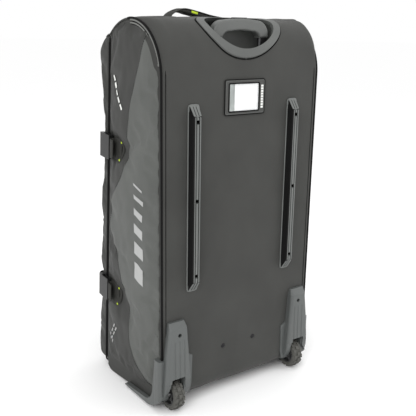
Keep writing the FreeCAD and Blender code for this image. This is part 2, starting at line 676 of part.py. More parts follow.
# ---- skid rails, wheel guards and wheels ---------------------------------------------------------------
def skid_rail():
    half, top_half, h = 13.0, 9.5, RAIL_HEIGHT
    x, z0, z1 = RAIL_X, RAIL_Z0, RAIL_Z1
    groove = [(-1.6, -h), (-1.0, -h + 1.2), (1.0, -h + 1.2), (1.6, -h)]
    section = [(half, -0.1), (-half, -0.1), (-half, -2.4), (-top_half - 1.4, -2.4), (-top_half, -h + 2), (-top_half + 2, -h)]
    section += [(g - 3.6, y) for g, y in groove] + [(g + 3.6, y) for g, y in groove]
    section += [(top_half - 2, -h), (top_half, -h + 2), (top_half + 1.4, -2.4), (half, -2.4)]
    wire = Part.makePolygon([V(x + a, b, z0) for a, b in section + section[:1]])
    body = Part.Face(wire).extrude(V(0, 0, z1 - z0))
    bevel = 24.0
    for z, s in ((z0, 1), (z1, -1)):
        ramp = [(-2.4, z), (-h, z + s * bevel), (-h - 5, z + s * bevel), (-h - 5, z - s * 5), (-2.4, z - s * 5)]
        body = body.cut(plate_yz(ramp, x - 20, x + 20))
    body = soften(body, 5.5, lambda e: e.BoundBox.XLength < 0.01 and e.BoundBox.ZLength < 0.01
                  and e.BoundBox.YLength < 2.4)
    for z in RAIL_SCREWS_Z:
        body = body.cut(rod((x, -h - 1, z), (0, 1, 0), 4.6, 13))
        body = body.cut(rod((x, -h - 1, z), (0, 1, 0), 2.5, h + 2))
    return body


def screw(x, z, seat_y, length):
    """A pan-head screw along +y with its head's underside at seat_y."""
    head = Part.makeCone(4.2, 3.0, 2.6, V(x, seat_y - 0.05, z), V(0, -1, 0))
    cross = [box(x - 2.2, x + 2.2, seat_y - 4, seat_y - 1.6, z - 0.5, z + 0.5),
             box(x - 0.5, x + 0.5, seat_y - 4, seat_y - 1.6, z - 2.2, z + 2.2)]
    return without(union([head, rod((x, seat_y - 0.1, z), (0, 1, 0), 2.2, length)]), *cross)


def guard_screws():
    rail_seat = -RAIL_HEIGHT - 1 + 13
    shapes = []
    for z in RAIL_SCREWS_Z:
        shapes += both(screw(RAIL_X, z, rail_seat, 18))
    shapes += both(screw(GUARD_SCREW_X, GUARD_SCREW_Z, -9.0, 18))
    return shapes


def hump_section(z, x0, x1, depth, inset=0.0):
    """One level of the guard's hump: square to the back panel, rounded at its rear corners."""
    r = min(7.0, depth * 0.45)
    x0, x1, y, base = x0 + inset, x1 - inset, -(depth - inset), -0.1
    r = max(r - inset, 1.0)
    k = r * (1 - math.sqrt(0.5))
    return Part.Wire([
        line((x0, base, z), (x0, y + r, z)), arc((x0, y + r, z), (x0 + k, y + k, z), (x0 + r, y, z)),
        line((x0 + r, y, z), (x1 - r, y, z)), arc((x1 - r, y, z), (x1 - k, y + k, z), (x1, y + r, z)),
        line((x1, y + r, z), (x1, base, z)), line((x1, base, z), (x0, base, z)),
    ])


HUMP = ((GUARD_TOP, 160.0, 201.0, 7.0), (206.0, 156.0, 203.0, 16.0), (FLANGE_TOP, 151.0, 211.0, 18.0),
        (86.0, 148.0, 214.0, 19.0), (42.0, 147.0, 216.0, 18.0), (27.0, 148.0, 217.0, 7.0))
SKIN = 3.0
HEEL_Y, HEEL_Z, HEEL_RADIUS = 56.0, 78.0, 72.0   # rounding of the guard's lower back corner
GUARD_X = HALF_WIDTH + 12.5    # outer face of the guard's side leaf


def heel_outside(radius):
    """Everything behind and below the guard's rounded lower back corner."""
    corner = box(100, 300, -60, HEEL_Y, -20, HEEL_Z)
    return corner.cut(rod((90, HEEL_Y, HEEL_Z), (1, 0, 0), radius, 220))


def wheel_guard():
    """Moulded corner guard on the right: hump, wheel well, leaves round the corner and a runner below."""
    solid = Part.makeLoft([hump_section(*level) for level in HUMP], True, True)
    hollow = Part.makeLoft([hump_section(z - (SKIN if i == 0 else 0), x0, x1, depth, SKIN)
                            for i, (z, x0, x1, depth) in enumerate(HUMP[:-1])], True, True)
    hollow = hollow.cut(heel_outside(HEEL_RADIUS - SKIN))
    low, high = WHEEL_X - WELL_HALF, WHEEL_X + WELL_HALF
    well = box(low, high, -16, WELL_Y - 0.4, 14, WELL_TOP - 0.4)
    well = soften(well, 12, lambda e: abs(e.BoundBox.YMax - (WELL_Y - 0.4)) < 0.01 and e.BoundBox.XLength > 30)
    boss = rod((GUARD_SCREW_X, -14, GUARD_SCREW_Z), (0, 1, 0), 7.5, 13.9)
    leaf = slab_xz([(152, FLANGE_TOP + 4), (135, FLANGE_TOP - 6), (137, 56), (142, 34), (152, 27),
                    (222, 27), (222, FLANGE_TOP)], -3.2, -0.1)
    corner = rounded(205, GUARD_X, -5, 20, RUNNER_Z, FLANGE_TOP, 7, V(0, 0, 1))
    corner = corner.cut(box(200, HALF_WIDTH + 1.2, -0.1, 30, 0, 140))
    body = union([solid.cut(hollow), well, boss, leaf, corner, side_leaf(), under_runner()])
    body = body.cut(heel_outside(HEEL_RADIUS))
    centre = (WHEEL_Y, WHEEL_RADIUS)
    room = WHEEL_WIDTH / 2 + 4
    wheel_room = union([
        rod((WHEEL_X - room, *centre), (1, 0, 0), WHEEL_RADIUS + 3, 2 * room),
        box(WHEEL_X - room, WHEEL_X + room, -60, WHEEL_Y + WHEEL_RADIUS + 1, -10, WHEEL_RADIUS - 6),
        slab_xz([(WHEEL_X - 16, 87), (WHEEL_X + 18, 87), (WHEEL_X + 26, 36), (WHEEL_X + 30, -10),
                 (WHEEL_X - 27, -10), (WHEEL_X - 24, 36)], -60, -12),
    ])
    outer_notch = slab_xz([(WHEEL_X + 18, 66), (GUARD_X, 30), (GUARD_X, -10), (WHEEL_X, -10)], -60, -1)
    wheel_room = union([wheel_room, box(WHEEL_X - 17, WHEEL_X + 17, -14, 0, 30, 87), outer_notch])
    axle_hole = rod((WHEEL_X - 30, *centre), (1, 0, 0), AXLE_RADIUS + 0.05, 60)
    head_hole = rod((GUARD_SCREW_X, -40, GUARD_SCREW_Z), (0, 1, 0), 4.6, 31)
    shank_hole = rod((GUARD_SCREW_X, -40, GUARD_SCREW_Z), (0, 1, 0), 2.5, 60)
    return without(body, wheel_room, axle_hole, head_hole, shank_hole, *ridge_grooves())


def side_leaf():
    """The guard's side: an upright leaf that sweeps forward into a runner along the bag's lower edge."""
    z = RUNNER_Z
    outline = [(8, FLANGE_TOP), (15, FLANGE_TOP), (26, 62), (34, 33, "via"), (54, 18), (148, 11), (153, 9),
               (153, z), (-2, z), (-2, FLANGE_TOP)]
    return plate_yz(outline, HALF_WIDTH + 1.2, GUARD_X - 1)


def under_runner():
    """The runner's foot, under the shell's sloping bottom."""
    z = RUNNER_Z
    top = BOTTOM_BACK_Z - 0.8
    return plate_yz([(18, z), (112, z), (112, z + 3.2), (44, top), (18, top + 3)], 203, HALF_WIDTH + 2)


def ridge_grooves():
    """Three shallow flutes down the face of the hump, from under the screw to the wheel slot."""
    tools = []
    for x in (WHEEL_X - 15, WHEEL_X - 3, WHEEL_X + 10):
        flute = rod((x, -20.0, 84), (0, 0, 1), 2.3, 92)
        flute.rotate(V(x, -20.0, 84), V(1, 0, 0), -1.2)
        tools.append(flute)
    return tools


def axle():
    """Steel pin with a domed head, pressed into the walls of the guard."""
    return rod((WHEEL_X - WELL_HALF, WHEEL_Y, WHEEL_RADIUS), (1, 0, 0), AXLE_RADIUS, 2 * WELL_HALF)


def hub():
    """Moulded wheel centre: rim, five spokes and a boss that holds the two bearings."""
    c, w = (WHEEL_Y, WHEEL_RADIUS), WHEEL_WIDTH
    x0 = WHEEL_X - w / 2 + 1

    def ring(r0, r1, length):
        s = WHEEL_X - length / 2
        return rod((s, *c), (1, 0, 0), r1, length).cut(rod((s - 1, *c), (1, 0, 0), r0, length + 2))
    parts = [ring(22.0, 25.0, w - 2), ring(11.0, 14.0, w - 4), ring(6.0, 11.5, w - 18)]
    for k in range(5):
        spoke = box(x0 + 3, x0 + w - 5, -3.2, 3.2, 13, 23)
        spoke.rotate(V(0, 0, 0), V(1, 0, 0), 72 * k)
        spoke.translate(V(0, *c))
        parts.append(spoke)
    return union(parts)


def tyre():
    """Rubber tyre with three staggered rows of tread blocks."""
    c, w = (WHEEL_Y, WHEEL_RADIUS), WHEEL_WIDTH
    carcass = rod((WHEEL_X - w / 2, *c), (1, 0, 0), WHEEL_RADIUS - 3.2, w)
    carcass = carcass.makeFillet(4.0, carcass.Edges[:1] + carcass.Edges[2:3])
    blocks = []
    count = 14
    for k in range(count):
        for x0, x1, turn, low in ((-12.2, -6.2, 0.5, 1.6), (-4.0, 4.0, 0.0, 0.0), (6.2, 12.2, 0.5, 1.6)):
            block = box(WHEEL_X + x0, WHEEL_X + x1, -4.6, 4.6, WHEEL_RADIUS - 6, WHEEL_RADIUS - low)
            block.rotate(V(0, 0, 0), V(1, 0, 0), 360 / count * (k + turn))
            block.translate(V(0, *c))
            blocks.append(block)
    limit = rod((WHEEL_X - w, *c), (1, 0, 0), WHEEL_RADIUS, 2 * w)
    whole = carcass.fuse(blocks).common(limit)
    return whole.cut(rod((WHEEL_X - w, *c), (1, 0, 0), 25.0, 2 * w)).removeSplitter()


def bearings():
    c, w = (WHEEL_Y, WHEEL_RADIUS), WHEEL_WIDTH
    shapes = []
    for x in (WHEEL_X - w / 2 + 2, WHEEL_X + w / 2 - 9):
        shapes.append(rod((x, *c), (1, 0, 0), 11.0, 7).cut(rod((x - 1, *c), (1, 0, 0), AXLE_RADIUS + 0.05, 9)))
    return shapes


# ---- address holder, grab handle, inner boards -------------------------------------------------------
ID_X0, ID_X1, ID_Z0, ID_Z1 = -57.0, 53.0, 665.0, 740.0
ID_WINDOW = (-45.0, 36.0, 673.0, 731.0)


def id_frame():
    body = rounded(ID_X0, ID_X1, -2.6, -0.1, ID_Z0, ID_Z1, 4, V(0, 1, 0))
    x0, x1, z0, z1 = ID_WINDOW
    window = box(x0, x1, -5, 5, z0, z1)
    channel = box(x0 - 3, ID_X1 + 5, -1.5, 0.5, z0 - 2, z1 + 2)
    return without(body, window, channel)


def id_film():
    x0, x1, z0, z1 = ID_WINDOW
    return box(x0 + 0.05, x1 - 0.05, -2.2, -1.7, z0 + 0.05, z1 - 0.05)


def id_card():
    x0, x1, z0, z1 = ID_WINDOW
    return box(x0 + 8, x1 + 1, -1.1, -0.5, z0 - 1, z1 + 1)


HANDLE_X = 98.0
HANDLE_Y = 172.0
handle_slope = math.degrees(math.asin((HANDLE_Y - TOP_FLAT_Y) / FRONT_RADIUS))
handle_ground = BAG_TOP - FRONT_RADIUS * (1 - math.cos(math.radians(handle_slope)))
HANDLE_Z = handle_ground + 5.8


def grab_handle():
    """Webbing loop across the top, slack to one side, pinned at both ends along its line of folding."""
    half, t = 17.0, 6.0
    crest = [(-HANDLE_X, 0), (-86, 21), (-52, 30), (-14, 23), (45, 12), (HANDLE_X, 0)]
    belly = [(HANDLE_X - 14, 0), (42, 12 - t), (-14, 23 - t), (-50, 30 - t), (-78, 20 - t), (-HANDLE_X + 12, 0)]

    def curve(points):
        spline = Part.BSplineCurve()
        spline.interpolate([V(x, 0, z) for x, z in points])
        return spline.toShape()
    ends = [line((HANDLE_X, 0, 0), (HANDLE_X - 14, 0, 0)), line((-HANDLE_X + 12, 0, 0), (-HANDLE_X, 0, 0))]
    arm = Part.Face(Part.Wire([curve(crest), ends[0], curve(belly), ends[1]])).extrude(V(0, 2 * half, 0))
    arm.translate(V(0, -half, 0))
    shoulder = 9.0
    arm = arm.cut(box(-200, 200, -half - 1, -4, -20, shoulder)).cut(box(-200, 200, 4, half + 1, -20, shoulder))
    feet = [rod((s * (HANDLE_X - 6) - 9, 0, 0), (1, 0, 0), 4.0, 18) for s in (-1, 1)]
    whole = union([arm] + feet)
    whole.translate(V(0, HANDLE_Y, HANDLE_Z))
    return whole


def handle_anchor():
    """Stitched patch on the top panel that carries one end of the grab handle."""
    x = HANDLE_X - 6
    patch = rounded(x - 26, x + 26, -17, 17, 0.4, 1.2, 6, V(0, 0, 1))
    patch.rotate(V(0, 0, 0), V(1, 0, 0), -handle_slope)
    patch.translate(V(0, HANDLE_Y, handle_ground))
    return patch


def back_board():
    """Stiff sheet behind the back panel that the rails, guards and handle are screwed to."""
    board = rounded(-196, 196, PANEL + 0.1, PANEL + 3.1, 106, 746, 20, V(0, 1, 0))
    return without(board, *shank_holes(2.6, 0, 10))


def lining_panel():
    """Lining that covers the tubes inside the main compartment."""
    edge = HALF_WIDTH - PANEL - 0.1
    return rounded(-edge, edge, 42.0, 43.6, 108, 778, 16, V(0, 1, 0))


# ---- write every piece ----------------------------------------------------------------------------------
def main():
    save("back_panel", back_panel())
    save("top_panel", top_panel())
    save("bottom_panel", bottom_panel())
    save("right_side_panel", side_panel())
    save("left_side_panel", mirrored(side_panel()))
    save("right_side_insert", side_insert())
    save("left_side_insert", mirrored(side_insert()))
    save("edge_piping", *both(edge_piping()))
    save("main_zip_shell_tape", *main_zip_shell_tape())
    save("back_board", back_board())
    save("lining_panel", lining_panel())

    save("lid_panel", lid_panel())
    save("lid_gusset", lid_gusset())
    save("main_zip_lid_tape", on_lid(lid_ring(ZIP_HALF, 12, CLEAR, ZIP_GAP - 0.1, 1.5, top=-16)))
    for name in POCKETS:
        save(f"{name}_pocket", pocket(name))
        save(f"{name}_pocket_slider", pocket_slider(name))
        save(f"{name}_pocket_pull", pocket_pull(name))
    save("pocket_zip_tapes", *[pocket_zip(name) for name in POCKETS])
    save("main_slider", main_slider())
    save("main_pull", main_pull())

    save("strap_anchor_patches", *[s for z in STRAP_Z for s in both(anchor_patch(z))])
    save("rear_straps", *[s for z in STRAP_Z for s in both(rear_strap(z))])
    save("buckle_sockets", *[s for z in STRAP_Z for s in both(socket(z))])
    save("buckle_prongs", *[s for z in STRAP_Z for s in both(prongs(z))])
    save("front_straps", *[s for z in STRAP_Z for s in both(front_strap(z))])

    save("trolley_cup", trolley_cup())
    save("outer_tubes", outer_tube(1), outer_tube(-1))
    save("tube_collars", tube_collar(1), tube_collar(-1))
    save("tube_base_bracket", base_bracket())
    save("bracket_rivets", bracket_rivet(1), bracket_rivet(-1))
    save("inner_tubes", inner_tube(1), inner_tube(-1))
    save("lock_blocks", lock_block(1), lock_block(-1))
    save("right_lock_pin", lock_pin(1))
    save("left_lock_pin", lock_pin(-1))
    save("grip_rear_shell", grip_shell(False))
    save("grip_front_shell", grip_shell(True))
    save("release_button", release_button())
    save("release_linkage", release_linkage())

    save("right_skid_rail", skid_rail())
    save("left_skid_rail", mirrored(skid_rail()))
    save("guard_screws", *guard_screws())
    save("right_wheel_guard", wheel_guard())
    save("left_wheel_guard", mirrored(wheel_guard()))
    save("wheel_axles", *both(axle()))
    for side, shape in (("right", lambda s: s), ("left", mirrored)):
        save(f"{side}_tyre", shape(tyre()))
        save(f"{side}_wheel_hub", shape(hub()))
        save(f"{side}_wheel_bearings", *[shape(b) for b in bearings()])

    save("id_frame", id_frame())
    save("id_film", id_film())
    save("id_card", id_card())
    save("grab_handle", grab_handle())
    save("handle_anchors", *both(handle_anchor()))


main()
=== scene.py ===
"""Looks of the wheeled gear bag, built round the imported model.

Lengths are in millimetres and y is measured forward from the plane of the back panel, as the part is
drawn; world() turns them into metres in the row frame.
"""
import json
import math

import bmesh
import bpy
import numpy as np
from mathutils import Matrix, Vector, noise
from mathutils.bvhtree import BVHTree

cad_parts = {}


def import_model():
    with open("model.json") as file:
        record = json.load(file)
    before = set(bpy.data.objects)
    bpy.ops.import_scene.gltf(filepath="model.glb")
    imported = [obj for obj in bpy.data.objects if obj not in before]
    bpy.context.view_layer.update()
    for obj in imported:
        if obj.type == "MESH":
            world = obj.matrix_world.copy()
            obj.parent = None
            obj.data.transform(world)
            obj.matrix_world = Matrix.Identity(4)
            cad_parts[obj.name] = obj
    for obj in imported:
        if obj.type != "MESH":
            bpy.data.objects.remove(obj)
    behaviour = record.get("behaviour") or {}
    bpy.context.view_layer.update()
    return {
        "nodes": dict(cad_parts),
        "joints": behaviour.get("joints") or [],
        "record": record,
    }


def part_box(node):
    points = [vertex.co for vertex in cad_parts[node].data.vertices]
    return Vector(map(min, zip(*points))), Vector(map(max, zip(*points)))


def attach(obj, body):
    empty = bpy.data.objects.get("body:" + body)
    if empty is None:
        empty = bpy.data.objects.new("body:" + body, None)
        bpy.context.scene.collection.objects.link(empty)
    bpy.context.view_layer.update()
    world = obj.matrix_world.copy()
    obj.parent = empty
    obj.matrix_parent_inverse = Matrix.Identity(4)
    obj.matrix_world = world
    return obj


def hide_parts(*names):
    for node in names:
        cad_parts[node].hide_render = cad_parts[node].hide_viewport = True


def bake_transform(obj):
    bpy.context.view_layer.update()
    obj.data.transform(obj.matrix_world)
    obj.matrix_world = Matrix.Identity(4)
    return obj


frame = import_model()

# ---- places read from the frame
MM = 1000.0
BACK_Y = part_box("back_panel")[0].y * MM
BACK = np.array([0, BACK_Y, 0])
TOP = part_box("top_panel")[1].z * MM
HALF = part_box("right_side_panel")[1].x * MM
joints = {j["name"]: j for j in frame["joints"]}
FOLD_Y = joints["lid_fold"]["pos_m"][1] * MM - BACK_Y
FOLD_Z = joints["lid_fold"]["pos_m"][2] * MM
TILT = math.asin(joints["main_zip_slide"]["axis"][1])
LID_LENGTH = (FOLD_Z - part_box("lid_gusset")[0].z * MM) / math.cos(TILT)
HANDLE_Y = joints["handle_fold"]["pos_m"][1] * MM - BACK_Y
HANDLE_Z = joints["handle_fold"]["pos_m"][2] * MM

# ---- sizes shared by several pieces
FOOT_Z, FOOT_RADIUS, UNDER_Z = 56.0, 40.0, 16.0  # back-to-bottom curve and the shell's underside
REST_Y0, REST_Y1 = 226.0, 250.0  # strip that stands on the floor
SIDE_RADIUS, MIDDLE_RADIUS = 118.0, 60.0  # back-to-top curve at the sides and in the middle
CROWN_Z = TOP - SIDE_RADIUS
FRONT_RADIUS, TOP_FLAT_Y = 136.0, 120.0  # top-to-front curve
CUP_SHIFT = 15.0  # widest line of the handle cup above the 45 degree point
STRAPS_Z = (228.0, 582.0)
LID_DEPTH = 38.0
ZIP_HALF = HALF + 0.2
POCKETS = {"upper": (-330.0, -70.0), "lower": (-760.0, -370.0)}
POCKET_HALF, POCKET_DEPTH, POCKET_ZIP_DROP = 172.0, 15.0, 44.0
SEED = Vector((3.7, 8.1, 5.3))


def world(points):
    """Millimetres from the back panel's plane to metres in the row frame."""
    p = np.array(points, float).reshape(-1, 3)
    return np.column_stack([p[:, 0], p[:, 1] + BACK_Y, p[:, 2]]) / MM


def on_lid(points):
    """Points drawn hanging from the lid's fold (y outward, -z down the lid) to the shell's millimetres."""
    p = np.array(points, float)
    c, s = math.cos(TILT), math.sin(TILT)
    y, z = p[..., 1], p[..., 2]
    return np.stack([p[..., 0], FOLD_Y + y * c - z * s, FOLD_Z + y * s + z * c], -1)


def box_of(node):
    """The low and high corners of a node's box, in the shell's millimetres."""
    return [np.array(c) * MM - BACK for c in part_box(node)]


def hand(side):
    return "right" if side > 0 else "left"


LID_OUT = on_lid((0, 1, 0)) - on_lid((0, 0, 0))
LID_UP = on_lid((0, 0, 1)) - on_lid((0, 0, 0))


def unit(v):
    return v / np.linalg.norm(v, axis=1, keepdims=True)


def at_x(x, rows):
    """(y, z) rows set at one x."""
    return np.column_stack([np.full(len(rows), x), rows])


def ease(x):
    t = np.clip(x, 0.0, 1.0)
    return t * t * (3 - 2 * t)


def bump(x, centre, width):
    return np.exp(-((np.asarray(x) - centre) / width) ** 2)


def ripple(x, y, z, size, shift=0.0):
    """Smooth noise from -1 to 1 with features about size across."""
    p = Vector((x + shift, y, z)) / size + SEED
    return noise.noise(p)


# ---- materials
def dial(node, values):
    for key, value in values.items():
        node.inputs[key].default_value = value


def material(name, colour, rough, metal=0.0, grain=None, depth=0.2, spread=0.12, alpha=1.0, sheen=0.0, coat=0.0,
             gloss=0.5):
    """A procedural finish. grain is (kind, scale): weave, ribs or noise; depth is its bump."""
    m = bpy.data.materials.new(name)
    m.use_nodes = True
    nodes, links = m.node_tree.nodes, m.node_tree.links
    shader = nodes["Principled BSDF"]
    dial(shader, {"Metallic": metal, "Alpha": alpha, "Sheen Weight": sheen, "Sheen Roughness": 0.5,
                  "Coat Weight": coat, "Specular IOR Level": gloss})
    place = nodes.new("ShaderNodeTexCoord").outputs["Object"]
    cloud = nodes.new("ShaderNodeTexNoise")
    dial(cloud, {"Scale": 9.0, "Detail": 6.0})
    links.new(place, cloud.inputs["Vector"])
    ramp = nodes.new("ShaderNodeValToRGB")
    for stop, place_on_ramp, change in zip(ramp.color_ramp.elements, (0.3, 0.7), (1 - spread, 1 + spread)):
        stop.position = place_on_ramp
        stop.color = (*[min(1.0, c * change) for c in colour], 1)
    links.new(cloud.outputs["Fac"], ramp.inputs["Fac"])
    links.new(ramp.outputs["Color"], shader.inputs["Base Color"])
    wear = nodes.new("ShaderNodeMapRange")
    dial(wear, {"To Min": max(0.05, rough - 0.06), "To Max": min(1.0, rough + 0.06)})
    links.new(cloud.outputs["Fac"], wear.inputs["Value"])
    links.new(wear.outputs["Result"], shader.inputs["Roughness"])
    if grain:
        add_grain(m, place, grain, depth)
    return m


def add_grain(m, place, grain, depth):
    """Fine relief: a weave is three sets of waves added up, ribs are one, and noise is grainy."""
    nodes, links = m.node_tree.nodes, m.node_tree.links
    kind, scale = grain
    height = nodes.new("ShaderNodeBump")
    dial(height, {"Strength": depth, "Distance": 0.001})
    total = None
    for direction in {"weave": ("X", "Y", "Z"), "ribs": ("DIAGONAL",), "noise": (None,)}[kind]:
        wave = nodes.new("ShaderNodeTexWave" if direction else "ShaderNodeTexNoise")
        wave.inputs["Scale"].default_value = scale
        if direction:
            wave.bands_direction = direction
        if kind == "weave":
            dial(wave, {"Distortion": 0.6, "Detail": 1.0})
        elif kind == "noise":
            wave.inputs["Detail"].default_value = 3.0
        links.new(place, wave.inputs["Vector"])
        if total is None:
            total = wave.outputs["Fac"]
            continue
        add = nodes.new("ShaderNodeMath")
        add.operation = "ADD"
        links.new(total, add.inputs[0])
        links.new(wave.outputs["Fac"], add.inputs[1])
        total = add.outputs[0]
    links.new(total, height.inputs["Height"])
    links.new(height.outputs["Normal"], m.node_tree.nodes["Principled BSDF"].inputs["Normal"])


def woven(name, colour, rough, scale=420.0, depth=0.2, **more):
    return material(name, colour, rough, grain=("weave", scale), depth=depth, **more)


def moulded(name, colour, rough, scale=900.0, depth=0.08, **more):
    return material(name, colour, rough, grain=("noise", scale), depth=depth, **more)


FINISH = {
    "shell_fabric": woven("shell_cloth", (0.044, 0.0445, 0.0415), 0.8, sheen=0.08, gloss=0.25),
    "side_fabric": woven("side_cloth", (0.028, 0.0285, 0.0262), 0.52, gloss=0.3, depth=0.12),
    "insert_fabric": woven("wave_cloth", (0.078, 0.082, 0.0765), 0.5, gloss=0.35, depth=0.12),
    "lining": woven("lining_cloth", (0.075, 0.075, 0.078), 0.8, scale=300.0),
    "piping": material("piping_cord", (0.004, 0.004, 0.004), 0.6, gloss=0.1),
    "zip_tape": woven("zip_tape", (0.01, 0.01, 0.01), 0.65, gloss=0.1, scale=380.0),
    "webbing": material("webbing", (0.03, 0.03, 0.027), 0.7, grain=("ribs", 120.0), depth=0.4, gloss=0.2),
    "buckle_plastic": moulded("buckle_plastic", (0.012, 0.012, 0.012), 0.32, gloss=0.35, depth=0.05),
    "black_plastic": moulded("black_plastic", (0.028, 0.028, 0.028), 0.5),
    "board": moulded("board_plastic", (0.05, 0.05, 0.05), 0.6, scale=500.0),
    "cup_plastic": moulded("cup_plastic", (0.083, 0.087, 0.083), 0.5, scale=1100.0, depth=0.12),
    "grip_plastic": moulded("grip_plastic", (0.088, 0.092, 0.088), 0.48, scale=1100.0, depth=0.12),
    "button_plastic": moulded("button_plastic", (0.035, 0.035, 0.035), 0.4, scale=1100.0),
    "guard_plastic": moulded("guard_plastic", (0.082, 0.088, 0.086), 0.46, scale=1000.0, depth=0.15),
    "tube_aluminium": moulded("tube_aluminium", (0.09, 0.09, 0.093), 0.4, metal=1.0, scale=700.0, depth=0.05),
    "fastener_steel": material("fastener_steel", (0.02, 0.02, 0.021), 0.35, 0.6, gloss=0.3),
    "axle_steel": material("axle_steel", (0.5, 0.5, 0.5), 0.3, 1.0),
    "tyre_rubber": moulded("tyre_rubber", (0.075, 0.074, 0.066), 0.75, scale=600.0, depth=0.2),
    "hub_plastic": moulded("hub_plastic", (0.04, 0.04, 0.04), 0.5),
    "id_vinyl": moulded("id_vinyl", (0.035, 0.036, 0.033), 0.38, gloss=0.5, scale=700.0, depth=0.15),
    "clear_film": material("clear_film", (0.93, 0.95, 0.96), 0.08, alpha=0.22, spread=0.0, coat=0.6),
    "card_white": material("card_white", (0.86, 0.86, 0.85), 0.5, spread=0.02),
    "zip_metal": material("zip_metal", (0.03, 0.03, 0.032), 0.35, 0.7),
    "pull_cord": moulded("pull_rubber", (0.03, 0.03, 0.03), 0.6, scale=800.0, depth=0.1),
}
PRINT = material("print_ink", (0.36, 0.365, 0.36), 0.5, spread=0.04)
NEON = woven("neon_thread", (0.55, 0.72, 0.02), 0.6, spread=0.06, scale=500.0)
# black of the stitches, also used for cords that paint shadow round the handle cup and the address holder
THREAD_AND_SHADE = material("seam_thread_and_shade", (0.006, 0.006, 0.006), 0.6, gloss=0.05)
BRIGHT_PRINT = material("bright_ink", (0.72, 0.73, 0.7), 0.5, spread=0.02)
RIDGE = material("zip_coil", (0.13, 0.133, 0.125), 0.45, spread=0.05, gloss=0.4)
RAIL = moulded("rail_plastic", (0.125, 0.132, 0.127), 0.42, scale=1000.0, depth=0.12)
# painted shade: near-black for a skid rail's side walls and grooves and the strips beside it, where shadow falls
RAIL_SHADE = material("rail_painted_shade", (0.007, 0.007, 0.007), 0.6, spread=0.05, gloss=0.15)
# painted shade for the inside of the handle cup, below its trim ring
CUP_SHADE = moulded("cup_painted_shade", (0.042, 0.044, 0.041), 0.55, gloss=0.3, scale=1100.0, depth=0.12)
MESH_CLOTH = woven("divider_cloth", (0.03, 0.03, 0.03), 0.85, scale=200.0, depth=0.6)

WEBBING, SHELL_CLOTH = FINISH["webbing"], FINISH["shell_fabric"]

node_slot = {s["node"]: s["material_slot"] for s in frame["record"]["subparts"]}
for node, obj in frame["nodes"].items():
    obj.data.materials.clear()
    obj.data.materials.append(FINISH[node_slot[node]])


# ---- making meshes
def add_object(name, data):
    obj = bpy.data.objects.new(name, data)
    bpy.context.scene.collection.objects.link(obj)
    return obj


def mesh_of(bm, name):
    mesh = bpy.data.meshes.new(name)
    bm.to_mesh(mesh)
    bm.free()
    return mesh


def shape(name, points, faces, finish, smooth=True):
    """A mesh object from millimetre points; unused points are dropped."""
    points = np.array(points, float).reshape(-1, 3)
    used = sorted({i for f in faces for i in f})
    place = {old: new for new, old in enumerate(used)}
    mesh = bpy.data.meshes.new(name)
    mesh.from_pydata(world(points[used]).tolist(), [], [[place[i] for i in f] for f in faces])
    mesh.validate()
    obj = add_object(name, mesh)
    mesh.polygons.foreach_set("use_smooth", [smooth] * len(mesh.polygons))
    mesh.materials.append(finish)
    return obj


def grid(name, points, finish, keep=None, flip=False):
    rows, cols = points.shape[:2]
    faces = []
    for i in range(rows - 1):
        for j in range(cols - 1):
            if keep is None or keep[i, j]:
                quad = (i * cols + j, i * cols + j + 1, (i + 1) * cols + j + 1, (i + 1) * cols + j)
                faces.append(quad[::-1] if flip else quad)
    return shape(name, points, faces, finish)


def settle(obj):
    """Applies an object's modifiers to its mesh."""
    evaluated = obj.evaluated_get(bpy.context.evaluated_depsgraph_get())
    mesh = bpy.data.meshes.new_from_object(evaluated)
    old = obj.data
    obj.modifiers.clear()
    obj.data = mesh
    bpy.data.meshes.remove(old)
    return obj


def thicken(obj, thickness):
    m = obj.modifiers.new("thick", "SOLIDIFY")
    m.thickness = thickness / MM
    m.offset = -1.0
    return settle(obj)


def raw_points(obj):
    co = np.empty(len(obj.data.vertices) * 3)
    obj.data.vertices.foreach_get("co", co)
    return co.reshape(-1, 3) * MM


def get_points(obj):
    return raw_points(obj) - BACK


def set_points(obj, points):
    obj.data.vertices.foreach_set("co", world(points).ravel())
    obj.data.update()


def finish_piece(obj, body, replaces=()):
    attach(obj, body)
    if replaces:
        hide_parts(*replaces)
    return obj


def puff(obj, pinned, growth, pressure, frames, limit, stiffness):
    """Blows a cloth piece out with a short cloth simulation, holding the pinned points where they are."""
    start = get_points(obj)
    group = obj.vertex_groups.new(name="held")
    group.add([int(i) for i in np.flatnonzero(pinned)], 1.0, "REPLACE")
    cloth = obj.modifiers.new("cloth", "CLOTH")
    settings = cloth.settings
    for key, value in {"quality": 6, "mass": 0.25, "vertex_group_mass": "held", "tension_stiffness": 25.0,
                       "compression_stiffness": 25.0, "shear_stiffness": 10.0, "bending_stiffness": stiffness,
                       "air_damping": 2.0, "shrink_min": -growth, "use_pressure": True,
                       "uniform_pressure_force": pressure}.items():
        setattr(settings, key, value)
    settings.effector_weights.gravity = 0.0
    cloth.collision_settings.use_collision = False
    cloth.point_cache.frame_start = 1
    cloth.point_cache.frame_end = frames
    scene = bpy.context.scene
    for k in range(1, frames + 1):
        scene.frame_set(k)
    settle(obj)
    scene.frame_set(1)
    moved = get_points(obj) - start
    length = np.linalg.norm(moved, axis=1, keepdims=True)
    moved *= np.minimum(1.0, limit / np.maximum(length, 1e-6))
    set_points(obj, start + moved)
    obj.vertex_groups.clear()
    return obj


def smooth_route(points, step):
    """Points along a smooth curve through a route, about step apart."""
    p = np.array(points, float)
    ends = np.vstack([2 * p[0] - p[1], p, 2 * p[-1] - p[-2]])
    out = []
    for a, b, c, d in zip(ends, ends[1:], ends[2:], ends[3:]):
        n = max(2, int(np.linalg.norm(c - b) / step))
        for t in np.arange(n) / n:
            out.append(0.5 * (2 * b + (c - a) * t + (2 * a - 5 * b + 4 * c - d) * t * t
                              + (3 * b - a - 3 * c + d) * t ** 3))
    out.append(p[-1])
    return np.array(out)


